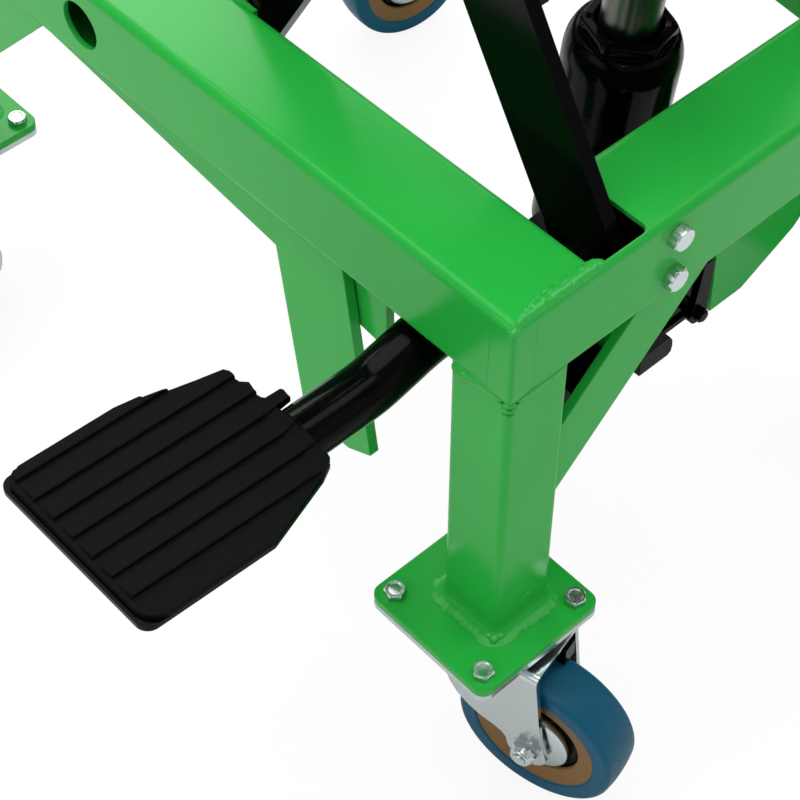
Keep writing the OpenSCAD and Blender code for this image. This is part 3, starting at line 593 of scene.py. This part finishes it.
def make_casters():
    for key in CASTERS:
        place = caster_place(key)
        wheel = "wheel_" + key
        swivel = "caster_" + key
        axle = place @ Matrix.Translation(Vector((0.0, -TRAIL, WHEEL_R)) * MM)
        profile = tyre_profile()
        tyre = add_mesh("tread_" + key, *spin(profile, TYRE_STEPS), "tyre_blue", wheel, axle)
        map_tread(tyre, profile, TYRE_STEPS)
        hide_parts("tyre_" + key)
        hub = add_mesh("rim_" + key, *hub_part(), "hub_tan", wheel, axle)
        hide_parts("hub_" + key)
        for side, label in ((-1, "near_"), (1, "far_")):
            cover = on_side(cover_part(), side)
            # The black ring in each side's recess of the hub is painted shade of that deep recess
            recess_shade = on_side(recess_shade_part(), side)
            add_mesh("bearing_cover_" + label + key, *cover, "zinc_plated", wheel, axle)
            add_mesh("recess_shade_ring_" + label + key, *recess_shade, "black_enamel", wheel, axle)
        fork = add_mesh("pressed_fork_" + key, *fork_part(), "zinc_plated", swivel, place)
        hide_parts("fork_" + key)
        add_mesh("axle_bolt_" + key, *axle_part(), "zinc_plated", swivel, place)


# Fasteners

# Spacing of the plate bolts and the two plates they hold, the rail bolts' place along the rail and the
# rail wall with its bracket that they hold, and the angle from which a fastener's edges are sharp
BOLT_SPACING = 68.0
PLATES_T = 9.0
RAIL_BOLT_X = 106.5
WALL_AND_BRACKET = 7.0
FASTENER_SHARP = 24.0


def make_plate_bolts():
    """The bolts and nuts that hold each caster under its foot plate."""
    plate_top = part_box("foot_plates")[1].z / MM
    stud = spin([(8.0, 2.9), (14.3, 2.9), (15.0, 2.4), (15.0, AXIS)], 16)
    parts = []
    for key in CASTERS:
        swivel = joints["swivel_" + key]["pos_m"]
        for i, (dx, dy) in enumerate(((-1, -1), (1, -1), (1, 1), (-1, 1))):
            turn = turned(0.5 + 0.8 * i, "Z")
            x = swivel[0] / MM + dx * BOLT_SPACING / 2.0
            y = swivel[1] / MM + dy * BOLT_SPACING / 2.0
            above = shift(x, y, plate_top)
            below = shift(x, y, plate_top - PLATES_T)
            parts.append(moved(hex_head(11.0, 4.4), above @ turn))
            parts.append(moved(hex_head(10.0, 5.0), below @ turned(math.pi, "X") @ turn))
            parts.append(moved(stud, above @ turned(QUARTER, "Y")))
    bolts = add_mesh("plate_bolts", *joined(*parts), "zinc_plated", "base", sharp=FASTENER_SHARP)
    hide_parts("caster_bolts")


def make_rail_bolts():
    """The two bolts and nuts at each lower arm pivot, through the front rail."""
    rod = spin([(0.0, 3.0), (13.4, 3.0), (14.6, 2.4), (14.6, AXIS)], 16)
    parts = []
    for x in (RAIL_BOLT_X, ACROSS - RAIL_BOLT_X):
        for i, z in enumerate((RAIL / 4.0, RAIL * 3.0 / 4.0)):
            front = shift(x, 0.0, z)
            behind = shift(x, WALL_AND_BRACKET, z)
            turn = turned(0.35 + 0.5 * i, "Z")
            parts.append(moved(hex_head(12.2, 5.6, dip=0.02), front @ turned(QUARTER, "X") @ turn))
            parts.append(moved(hex_head(10.0, 5.0), behind @ turned(-QUARTER, "X")))
            parts.append(moved(rod, front @ turned(QUARTER, "Z")))
    bolts = add_mesh("rail_bolts", *joined(*parts), "zinc_plated", "base", in_place(), FASTENER_SHARP)
    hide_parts("pivot_bolts")


# Welds


def mirror_place(place, right, rear):
    """A place near the left front leg, carried over to the right or to the rear."""
    x, y, z = place
    return (ACROSS - x if right else x, ALONG - y if rear else y, z)


def phases(chance, count):
    """Start angles of the waves that make a weld uneven."""
    return [chance.uniform(0.0, 6.28) for _ in range(count)]


def add_weld(name, points, faces, sharp):
    """A piece of weld metal on the frame, in its own glossier paint."""
    weld = add_mesh(name, points, faces, "frame_green", "base", in_place(), sharp)
    weld.data.materials[0] = weld_look
    return weld


def bead(name, path, radius, seed, ripple=2.2, wander=0.5, taper=1.0):
    """A weld bead: a rippled, slightly wandering run of metal laid along a path of places in millimetres,
    counted from the frame's near lower corner. Its radius changes to taper times as much at the end."""
    rings_per_ripple = 4.0
    end_rings = 4.0
    swell_share = 0.10
    crest_share = 0.14
    phase = phases(random.Random(seed), 4)
    turns = round_turns(12)
    places = [Vector(p) for p in path]
    lengths = [(b - a).length for a, b in zip(places, places[1:])]
    total = sum(lengths)
    count = max(8, int(total * rings_per_ripple / ripple))
    rings = []
    for k in range(count + 1):
        along = total * k / count
        rest = along
        i = 0
        while i < len(lengths) - 1 and rest > lengths[i]:
            rest -= lengths[i]
            i += 1
        here = places[i].lerp(places[i + 1], min(1.0, rest / lengths[i]))
        ahead = (places[i + 1] - places[i]).normalized()
        side = ahead.cross(Vector((0.31, 0.22, 0.93))).normalized()
        up = side.cross(ahead)
        wave = math.sin(along * 0.55 + phase[0]) * 0.5 + math.sin(along * 0.21 + phase[1]) * 0.5
        crest = along / ripple % 1.0
        size = radius * (1.0 + swell_share * wave + crest_share * crest)
        size *= 1.0 + (taper - 1.0) * k / count
        size *= math.sqrt(0.1 + 0.9 * min(1.0, min(k, count - k) / end_rings))
        aside = wander * math.sin(along * 0.4 + phase[2])
        lift = wander * 0.4 * math.sin(along * 0.7 + phase[3])
        here = here + side * aside + up * lift
        rings.append([here + side * size * math.cos(t) + up * size * math.sin(t) for t in turns])
    add_weld(name, *skinned(rings), 60.0)


def lump(place, size, seed):
    """An uneven drop of weld metal: a ball that is squashed and softly waved."""
    rows = 8
    phase = phases(random.Random(seed), 2)
    rings = []
    for i in range(rows + 1):
        tilt = math.pi * i / rows
        ring = []
        for turn in round_turns(14):
            swell = 1.0 + 0.12 * math.sin(2.0 * turn + phase[0]) + 0.08 * math.sin(3.0 * tilt + phase[1])
            ring.append((place[0] + size[0] * swell * math.sin(tilt) * math.cos(turn),
                         place[1] + size[1] * swell * math.sin(tilt) * math.sin(turn),
                         place[2] + size[2] * math.cos(tilt)))
        rings.append(ring)
    return skinned(rings, "open")


def foot_stations():
    """Places round a leg's foot with the way out at each: twelve steps on every rounded edge of the leg and
    forty along every flat side."""
    edge_steps = 12
    flat_steps = 40
    near = LEG_EDGE
    far = LEG - LEG_EDGE
    edges = (((far, near), -90.0), ((far, far), 0.0), ((near, far), 90.0), ((near, near), 180.0))
    stations = []
    for centre, start in edges:
        for k in range(edge_steps + 1):
            turn = math.radians(start + 90.0 * k / edge_steps)
            out = (math.cos(turn), math.sin(turn))
            stations.append((centre[0] + LEG_EDGE * out[0], centre[1] + LEG_EDGE * out[1], *out))
        following = math.radians(start + 90.0)
        ahead = (-math.sin(following), math.cos(following))
        here = stations[-1]
        for k in range(1, flat_steps):
            stations.append((here[0] + ahead[0] * (far - near) * k / flat_steps,
                             here[1] + ahead[1] * (far - near) * k / flat_steps, here[2], here[3]))
    return stations


def foot_fillet(tag, right, rear, seed):
    """The smooth weld round a leg's foot: hollow in section, with a slightly raised, uneven outer edge."""
    phase = phases(random.Random(seed), 4)
    section = [(-0.3, 9.0), (0.05, 7.0), (0.4, 5.2), (1.1, 3.4), (2.2, 2.1), (3.6, 1.25), (5.2, 0.75),
               (6.8, 0.36), (8.2, 0.02), (8.2, -0.4), (-0.6, -0.4)]
    stations = foot_stations()
    rings = []
    for i, (x, y, nx, ny) in enumerate(stations):
        run = 2.0 * math.pi * i / len(stations)
        swell = 1.0 + 0.06 * math.sin(5.0 * run + phase[0]) + 0.04 * math.sin(13.0 * run + phase[1])
        chatter = 0.07 * math.sin(46.0 * run + phase[2]) + 0.05 * math.sin(71.0 * run + phase[3])
        ring = []
        for out, up in section:
            reach = out * swell + chatter * ramp(out, 2.0, 5.5)
            height = up * swell + (0.6 * chatter * ramp(out, 0.0, 2.0) if up > 0.0 else 0.0)
            ring.append(mirror_place((x + nx * reach, y + ny * reach, LEG_FOOT + height), right, rear))
        rings.append(ring)
    add_mesh("foot_weld_" + tag, *skinned(rings, "joined"), "frame_green", "base", in_place(), 75.0)


def corner_skin(tag, right, rear):
    """The ground-down weld on the rails' upright corner: a thin rounded skin that runs out flat."""
    side = [(15.0, -0.02), (11.0, -0.10), (7.5, -0.20), (4.5, -0.31), (2.4, -0.42)]
    bend = arc((1.25, 1.25), 1.75, 255.0, 195.0, 6)
    inner = [(0.6, 15.0), (0.6, 0.6), (15.0, 0.6)]
    outline = side + bend + [(y, x) for x, y in reversed(side)] + inner
    lower = [1.6, 2.6, 3.8, 5.2, 20.0]
    rings = []
    for z in lower + [RAIL - level for level in reversed(lower)]:
        deep = max(0.0, RAIL_EDGE - z, z - (RAIL - RAIL_EDGE))
        inset = RAIL_EDGE - math.sqrt(RAIL_EDGE ** 2 - deep * deep)
        rings.append([mirror_place((x + inset, y + inset, z), right, rear) for x, y in outline])
    add_mesh("corner_skin_" + tag, *skinned(rings), "frame_green", "base", in_place(), 40.0)


# Drops of weld metal at each leg: their places and their half sizes. The first four are at the rails'
# corner, the others at the foot
DROPS = (
    ((1.6, 1.6, 1.8), (2.6, 2.6, 1.6)),
    ((2.0, 1.8, -2.0), (3.3, 3.3, 1.7)),
    ((2.1, 2.1, -5.8), (3.0, 3.0, 1.8)),
    ((1.9, 1.9, 51.6), (2.9, 2.9, 2.4)),
    ((-1.2, -0.8, LEG_FOOT + 1.0), (3.6, 3.0, 2.4)),
    ((2.4, -1.9, LEG_FOOT + 0.8), (3.4, 2.4, 2.2)),
    ((-1.9, 2.4, LEG_FOOT + 0.7), (2.3, 3.4, 2.0)),
    ((24.0, 0.3, LEG_FOOT + 16.0), (4.0, 0.7, 3.2)),
)


def corner_welds():
    """The welds at each leg: round its foot, at its top under the rail, and on the rails' corner."""
    for right in (False, True):
        for rear in (False, True):
            tag = ("rear" if rear else "front") + ("_right" if right else "_left")
            seed = 11 + 7 * right + 3 * rear

            def run(name, path, radius, order, **shape):
                places = [mirror_place(p, right, rear) for p in path]
                bead(name + tag, places, radius, seed + order, **shape)

            foot_fillet(tag, right, rear, seed)
            corner_skin(tag, right, rear)
            run("leg_top_weld_", ((1.2, 39.0, -1.5), (1.2, 28.0, -1.2), (1.4, 13.0, -0.2)), 3.2, 1,
                ripple=2.4, taper=0.3)
            run("leg_top_second_", ((1.5, 38.6, -6.0), (1.5, 32.0, -4.6), (1.7, 23.0, -2.6)), 2.6, 2,
                taper=0.5)
            run("leg_seam_", ((5.0, 1.9, 1.2), (39.0, 1.9, 1.2)), 2.35, 3, ripple=3.0, wander=0.06)
            run("leg_side_seam_", ((1.9, 5.0, 1.2), (1.9, 39.0, 1.2)), 2.35, 6, ripple=3.0, wander=0.06)
            lumps = [lump(mirror_place(p, right, rear), size, seed + i)
                     for i, (p, size) in enumerate(DROPS)]
            add_weld("weld_dabs_" + tag, *joined(*lumps), 70.0)
            seam_band(tag, right, rear, seed + 5)


def rail_top(y):
    """Height of the rails' top over its rounded front edge."""
    if y >= RAIL_EDGE:
        return RAIL
    return RAIL - RAIL_EDGE + math.sqrt(max(0.0, RAIL_EDGE ** 2 - (RAIL_EDGE - y) ** 2))


def seam_band(tag, right, rear, seed):
    """The ground-down weld on the corner's top: a thin dented band with a wavy back edge and a rounded
    tongue."""
    start = 3.0
    length = 57.4
    least_width = 0.8
    sunk = 0.25
    proud = 1.15
    thick = 0.4
    rise_steps = 5.0
    fall_steps = 7.0
    back = [(3.0, 2.6), (7.0, 5.0), (13.0, 6.4), (20.0, 8.2), (29.0, 9.6), (32.4, 8.6), (37.6, 9.3),
            (45.4, 9.5), (50.0, 8.0), (54.6, 8.1), (57.4, 6.6), (59.6, 4.2), (60.4, 2.4)]
    chance = random.Random(seed)
    phase = phases(chance, 4)
    dents = [(chance.uniform(3.0, 60.0), chance.uniform(0.5, 9.5), chance.uniform(0.7, 2.0),
              chance.uniform(-0.34, 0.30)) for _ in range(110)]
    across = 12
    steps = 150
    points = []
    for k in range(steps + 1):
        x = start + length * k / steps
        far = read_off(back, x) + 0.25 * math.sin(x * 1.9 + phase[0])
        near = 0.7 + 0.15 * math.sin(x * 1.3 + phase[1]) + max(0.0, x - 57.0) * 0.25
        end = min(1.0, k / rise_steps, (steps - k) / fall_steps)
        for j in range(across + 1):
            share = j / across
            y = near + (max(far, near + least_width) - near) * share
            swell = (4.0 * share * (1.0 - share)) ** 0.35
            rough = 0.08 * math.sin(x * 2.6 + y * 1.7 + phase[2]) * math.sin(y * 2.9 - x * 0.8 + phase[3])
            rough += sum(high * math.exp(-((x - u) ** 2 + (y - v) ** 2) / (wide * wide))
                         for u, v, wide, high in dents)
            z = rail_top(y) - sunk + (proud + rough) * swell * end
            points.append(mirror_place((x, y, z), right, rear))
    faces = []
    for k in range(steps):
        a = k * (across + 1)
        faces += [(a + j, a + j + 1, a + across + 2 + j, a + across + 1 + j) for j in range(across)]
    band = add_weld("seam_band_" + tag, points, faces, 70.0)
    solid = band.modifiers.new("depth", "SOLIDIFY")
    solid.thickness = thick * MM


def frame_welds():
    """The plainer welds under and behind the rails, at the braces, the hanger and the guard bar."""
    brace = 8.8
    under = -0.5
    first_seed = 101
    radius = 1.9
    at_rail = ((91.0, brace, under), (138.0, brace, under))
    at_leg = ((40.5, brace, -51.0), (40.5, brace, -98.0))
    side_at_rail = ((brace, 364.0, under), (brace, 411.0, under))
    side_at_leg = ((brace, 509.5, -99.0), (brace, 509.5, -146.0))
    hanger = ((210.0, 55.4, -0.6), (327.0, 55.4, -0.6))
    guard = ((14.8, 128.0, -0.6), (14.8, 179.0, -0.6))
    runs = []
    for right in (False, True):
        side = "_right" if right else "_left"
        for rear in (False, True):
            end = "_rear" if rear else "_front"
            runs.append(("brace_back" + end + side, at_rail, right, rear))
            runs.append(("brace_leg" + end + side, at_leg, right, rear))
        runs.append(("side_brace_rail" + side, side_at_rail, right, False))
        runs.append(("side_brace_leg" + side, side_at_leg, right, False))
    runs.append(("hanger_rail", hanger, False, False))
    runs.append(("guard_rail", guard, False, False))
    for i, (name, path, right, rear) in enumerate(runs):
        places = [mirror_place(p, right, rear) for p in path]
        bead(name + "_weld", places, radius, first_seed + i, ripple=2.0, wander=0.3)


# Jack

JACK_FOOT = joint_place("jack_tilt")
JACK_LEAN = math.radians(6.0)


def make_jack_head():
    """The jack's domed head with its low six-sided gland nut, on the leaning jack's own axis. Distances
    along the axis count from the jack's lower pin."""
    steps = 96
    dome = [(118.0, 30.6), (118.4, 31.2), (146.0, 31.3), (150.0, 31.1), (153.5, 30.5), (157.0, 29.4),
            (160.0, 28.0), (162.0, 26.6), (162.6, 25.6), (162.6, 20.0), (120.0, 20.0)]
    nut_flats = 44.5
    nut_turn = math.radians(14.0)
    # Along the axis, how much the hexagon grows, and the most that it reaches
    nut_outside = ((162.0, 0.0, 60.0), (167.6, 0.0, 25.2), (168.4, -0.2, 24.4), (169.0, -0.8, 23.6),
                   (169.0, -5.2, 19.2))
    nut_bore = ((168.6, 18.3), (167.4, 17.6), (158.0, 17.6), (158.0, 21.0))
    rings = []
    for along, grow, most in nut_outside:
        reaches = [(min(hex_radius(nut_flats, t) + grow, most), t) for t in round_turns(steps)]
        rings.append([(along, r * math.cos(t), r * math.sin(t)) for r, t in reaches])
    for along, r in nut_bore:
        rings.append([(along, r * math.cos(t), r * math.sin(t)) for t in round_turns(steps)])
    nut = moved(skinned(rings, "joined"), turned(nut_turn, "X"))
    upright = turned(JACK_LEAN, "X") @ turned(-QUARTER, "Y")
    part = moved(joined(spin(ring_profile(dome), steps), nut), shift(*JACK_FOOT) @ upright)
    head = add_mesh("jack_head", *part, "black_enamel", "jack_cylinder", in_place(), 28.0)
    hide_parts("jack_gland")


# Pedal

PEDAL_PIVOT = joint_place("pedal_press")
PLUNGER_X = 117.0
PLUNGER_Y = 70.0
PAD_PLACE = in_place(-70.0, PEDAL_PIVOT[1], -24.5) @ turned(math.radians(2.9), "Y")

# The pad's plate and rubber, and the rubber's ribs, of which the first is the rearmost
PLATE_T = 3.0
RUBBER_T = 3.0
RIBS = 7
RIB_H = 2.2
RIB_PITCH = 14.2
RIB_GAP = 0.6
FIRST_RIB = 52.0


def pad_height(x, y, far):
    """Height of the rubber over the pad, with its saw-toothed ribs and its rise over the tube's end."""
    run = RIB_PITCH - RIB_GAP
    hump_h = 4.2
    hump_y = -4.0
    hump_half = 17.0
    k = max(0, math.ceil((FIRST_RIB - y) / RIB_PITCH))
    behind = y - (FIRST_RIB - k * RIB_PITCH)
    rib = 0.0
    if k < RIBS and 0.0 <= behind <= run:
        rib = RIB_H * (1.0 - behind / run) * min(1.0, 0.75 + behind / 2.4)
    rib *= ramp(x, far + 2.2, far + 3.4)
    hump = hump_h * ramp(x, -8.0, 0.0) * max(0.0, 1.0 - ((y - hump_y) / hump_half) ** 2) ** 0.7
    uneven = 0.10 * math.sin(x * 0.31 + y * 0.13) * math.sin(y * 0.37)
    return PLATE_T + RUBBER_T + max(rib, hump + 0.5 * rib) + uneven


def pad_rows():
    """The rows' places along the machine: close together at the pad's ends, notches and crests."""
    front_rows = [-49.0, -48.7, -47.5, -45.0, -42.0, -38.0]
    crest_rows = (-0.55, -0.02, 0.02, 0.6, 1.6, 4.0, 7.0, 10.5)
    notch_rows = [9.8, 10.0, 18.02, 18.18, 46.9, 55.2, 56.8, 59.2, 60.0]
    last_rib_row = 59.0
    rib_rows = [FIRST_RIB - k * RIB_PITCH + step for k in range(RIBS) for step in crest_rows]
    return sorted(set(front_rows + notch_rows + [y for y in rib_rows if y < last_rib_row]))


def make_pad():
    """The ribbed rubber of the pedal: rows across the machine, each cut to the outline at its place."""
    far_side = [(-49.0, -108.0), (-48.0, -112.0), (-45.0, -116.5), (-40.0, -119.5), (53.0, -119.5),
                (57.0, -117.5), (60.0, -112.5)]
    near_side = [(-49.0, -50.0), (-34.0, -8.0), (-30.2, 0.0), (-27.0, 1.6), (-20.0, 1.2), (-14.0, 1.0),
                 (7.0, 1.0), (9.8, 1.2), (10.0, 10.0), (18.0, 12.0), (18.2, 0.8), (25.0, 0.6), (30.6, 2.2),
                 (32.4, -0.4), (38.0, -0.8), (41.0, 0.0), (46.0, -2.4), (47.0, -11.0), (55.2, -41.8),
                 (56.8, -42.6), (58.4, -50.0), (60.0, -62.0)]
    far_steps = (0.5, 2.2, 2.8, 3.4, 5.0)
    near_step = 0.5
    side_drop = 1.0
    end_drop = 1.1
    thick = 3.2
    plate_edge = 1.0
    seat = PLATE_T + 0.02
    columns = 44
    rows = pad_rows()
    rings = []
    for n, y in enumerate(rows):
        far = read_off(far_side, y)
        near = read_off(near_side, y)
        row_drop = end_drop if n in (0, len(rows) - 1) else 0.0
        top = []
        for j in range(columns + 1):
            x = far + (near - far) * (j / columns)
            if 1 <= j <= len(far_steps):
                x = far + far_steps[j - 1]
            elif j == columns - 1:
                x = near - near_step
            z = pad_height(x, y, far) - row_drop
            if j in (0, columns):
                z -= side_drop
            top.append((x, y, z))
        low = [(x, y, seat if x < plate_edge else z - thick) for x, y, z in top]
        rings.append(top + low[::-1])
    pad = add_mesh("ribbed_rubber", *skinned(rings), "rubber_black", "pedal", PAD_PLACE, 40.0)
    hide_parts("pedal_pad")


def make_pedal_tube():
    """The bent tube from the pad to the lever, with the lever, its boss and the pump's press."""
    pivot_x, pivot_y, pivot_z = PEDAL_PIVOT
    tube_y = 71.0
    tube_r = 14.5
    bends = ((-69.0, -27.2), (-52.0, -27.2), (-36.0, -27.2), (-22.0, -26.5), (-7.0, -23.1), (6.0, -19.8),
             (18.0, -18.1), (34.0, -16.8), (60.0, -14.8), (88.0, -12.7))
    tube = swept(smooth_path([(x, tube_y, z) for x, z in bends], 8), tube_r, 56)

    boss_r = 11.0
    bore_r = 6.1
    edge = 0.8
    half = 13.0
    boss = spin(ring_profile([(-half, bore_r), (-half, boss_r - edge), (edge - half, boss_r),
                              (half - edge, boss_r), (half, boss_r - edge), (half, bore_r)]), 48)
    lever_half = 7.0
    lever = [(84.0, -24.0), (pivot_x, pivot_z - boss_r), (pivot_x, pivot_z + boss_r), (84.0, -2.0)]
    lever_sides = (pivot_y - lever_half, pivot_y + lever_half)
    lever_part = skinned([[(x, y, z) for x, z in lever] for y in lever_sides])

    press_r = 6.0
    press_z = -24.6
    front = -11.0
    back = 8.0
    press = spin([(front, AXIS), (front, press_r - edge), (front + edge, press_r), (back - edge, press_r),
                  (back, press_r - edge), (back, AXIS)], 32)
    block_h = 12.0
    block_half = 5.0
    upright = [(front, 0.0), (back, 0.0), (back, block_h), (front, block_h)]
    block = sheet_piece([(pivot_y + y, press_z + z) for y, z in upright],
                        PLUNGER_X - block_half, PLUNGER_X + block_half)
    along_y = turned(QUARTER, "Z")
    part = joined(tube, lever_part, moved(boss, shift(*PEDAL_PIVOT) @ along_y),
                  moved(press, shift(PLUNGER_X, pivot_y, press_z) @ along_y), block)
    arm = add_mesh("bent_pedal_tube", *part, "black_enamel", "pedal", in_place(), 35.0)
    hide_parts("pedal_tube")


def make_spring():
    """The pump's return spring as one smooth coil with close end turns."""
    turns = 6.4
    end_turns = 0.8
    open_turns = turns - 2.0 * end_turns
    steps = 340
    wire = 1.5
    coil_r = 10.0
    low, high = -83.5, -36.5
    open_rise = high - low - 2.0 * end_turns * 2.0 * wire
    rings = []
    for k in range(steps + 1):
        at_turn = k / steps * turns
        rise = min(at_turn, end_turns) * 2.0 * wire
        rise += max(0.0, min(at_turn - end_turns, open_turns)) * open_rise / open_turns
        rise += max(0.0, at_turn - end_turns - open_turns) * 2.0 * wire
        angle = 2.0 * math.pi * at_turn
        outward = Vector((math.cos(angle), math.sin(angle), 0.0))
        here = Vector((PLUNGER_X, PLUNGER_Y, low + rise)) + outward * coil_r
        rings.append([here + outward * wire * math.cos(t) + Vector((0.0, 0.0, wire * math.sin(t)))
                      for t in round_turns(10)])
    coil = add_mesh("return_coil", *skinned(rings), slots["pump_spring"], "plunger", in_place(), 60.0)
    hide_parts("pump_spring")
    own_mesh(coil)


make_casters()
make_plate_bolts()
make_rail_bolts()
corner_welds()
frame_welds()
make_jack_head()
make_pad()
make_pedal_tube()
make_spring()


# Floor, light and camera

# The lights' places from the middle of the view and their sizes in metres, and their powers in watts
LIGHTS = (
    ("top_light", (-0.3, 0.6, 2.6), (2.4, 2.4), 58.0),
    ("left_light", (-2.4, 0.2, 1.2), (1.6, 1.6), 8.0),
    ("front_light", (0.6, -2.6, 0.9), (1.4, 1.4), 1.5),
    ("right_light", (1.3, -0.8, 2.9), (1.6, 1.6), 22.0),
    ("back_light", (1.6, 1.35, 2.25), (2.4, 2.4), 30.0),
    ("far_light", (0.75, 2.1, 1.5), (1.4, 1.0), 17.0),
    ("small_light", (-1.0, -1.3, 2.2), (0.12, 0.12), 2.5),
)


def make_floor():
    """A white floor that glows towards the camera, so that only soft shadows show on it."""
    glow_share = 0.86
    level = -0.0005
    bpy.ops.mesh.primitive_plane_add(size=30.0, location=(0.0, 0.0, level))
    floor = bpy.context.object
    floor.name = "floor"
    mat, nodes, links = new_material("floor_white")
    shader = node(nodes, "ShaderNodeBsdfPrincipled", Base_Color=(0.80, 0.80, 0.80, 1.0), Roughness=0.9)
    glow = node(nodes, "ShaderNodeEmission", Color=WHITE, Strength=1.04)
    path = nodes.new("ShaderNodeLightPath")
    share = calculate(nodes, links, "MULTIPLY", path.outputs["Is Camera Ray"], glow_share)
    mix = nodes.new("ShaderNodeMixShader")
    links.new(share, mix.inputs["Fac"])
    links.new(shader.outputs["BSDF"], mix.inputs[1])
    links.new(glow.outputs["Emission"], mix.inputs[2])
    out = nodes.new("ShaderNodeOutputMaterial")
    links.new(mix.outputs["Shader"], out.inputs["Surface"])
    floor.data.materials.append(mat)


def make_world():
    """Soft light from all round, and plain white where the camera sees past the floor."""
    world = bpy.data.worlds.new("studio")
    bpy.context.scene.world = world
    world.use_nodes = True
    nodes = world.node_tree.nodes
    links = world.node_tree.links
    nodes.clear()
    path = nodes.new("ShaderNodeLightPath")
    soft = node(nodes, "ShaderNodeBackground", Color=WHITE, Strength=0.45)
    seen = node(nodes, "ShaderNodeBackground", Color=WHITE, Strength=1.0)
    mix = nodes.new("ShaderNodeMixShader")
    links.new(path.outputs["Is Camera Ray"], mix.inputs["Fac"])
    links.new(soft.outputs["Background"], mix.inputs[1])
    links.new(seen.outputs["Background"], mix.inputs[2])
    out = nodes.new("ShaderNodeOutputWorld")
    links.new(mix.outputs["Shader"], out.inputs["Surface"])


def softbox(name, where, aim, size, power):
    data = bpy.data.lights.new(name, "AREA")
    data.shape = "RECTANGLE"
    data.size = size[0]
    data.size_y = size[1]
    data.energy = power
    lamp = bpy.data.objects.new(name, data)
    lamp.location = where
    lamp.rotation_euler = (aim - where).to_track_quat("-Z", "Y").to_euler()
    bpy.context.collection.objects.link(lamp)


def make_camera():
    """The photograph's own view, as solved from the frame's corners, the wheel and the bolts."""
    eye = at(-439.67, -406.72, 729.91)
    focus_mm = 92.94
    azimuth = math.radians(47.548)
    elevation = math.radians(50.421)
    data = bpy.data.cameras.new("camera")
    data.sensor_width = 36.0
    data.lens = focus_mm
    data.clip_start = 0.05
    data.clip_end = 60.0
    camera = bpy.data.objects.new("camera", data)
    camera.location = eye
    flat = Vector((math.cos(azimuth), math.sin(azimuth), 0.0))
    ahead = flat * math.cos(elevation) - Vector((0.0, 0.0, math.sin(elevation)))
    camera.rotation_mode = "QUATERNION"
    camera.rotation_quaternion = ahead.to_track_quat("-Z", "Y")
    bpy.context.collection.objects.link(camera)
    bpy.context.scene.camera = camera


make_floor()
make_world()
make_camera()
middle = at(150.0, 150.0, 0.0)
for name, offset, size, power in LIGHTS:
    softbox(name, middle + Vector(offset), middle, size, power)
bpy.context.scene.view_settings.view_transform = "Standard"
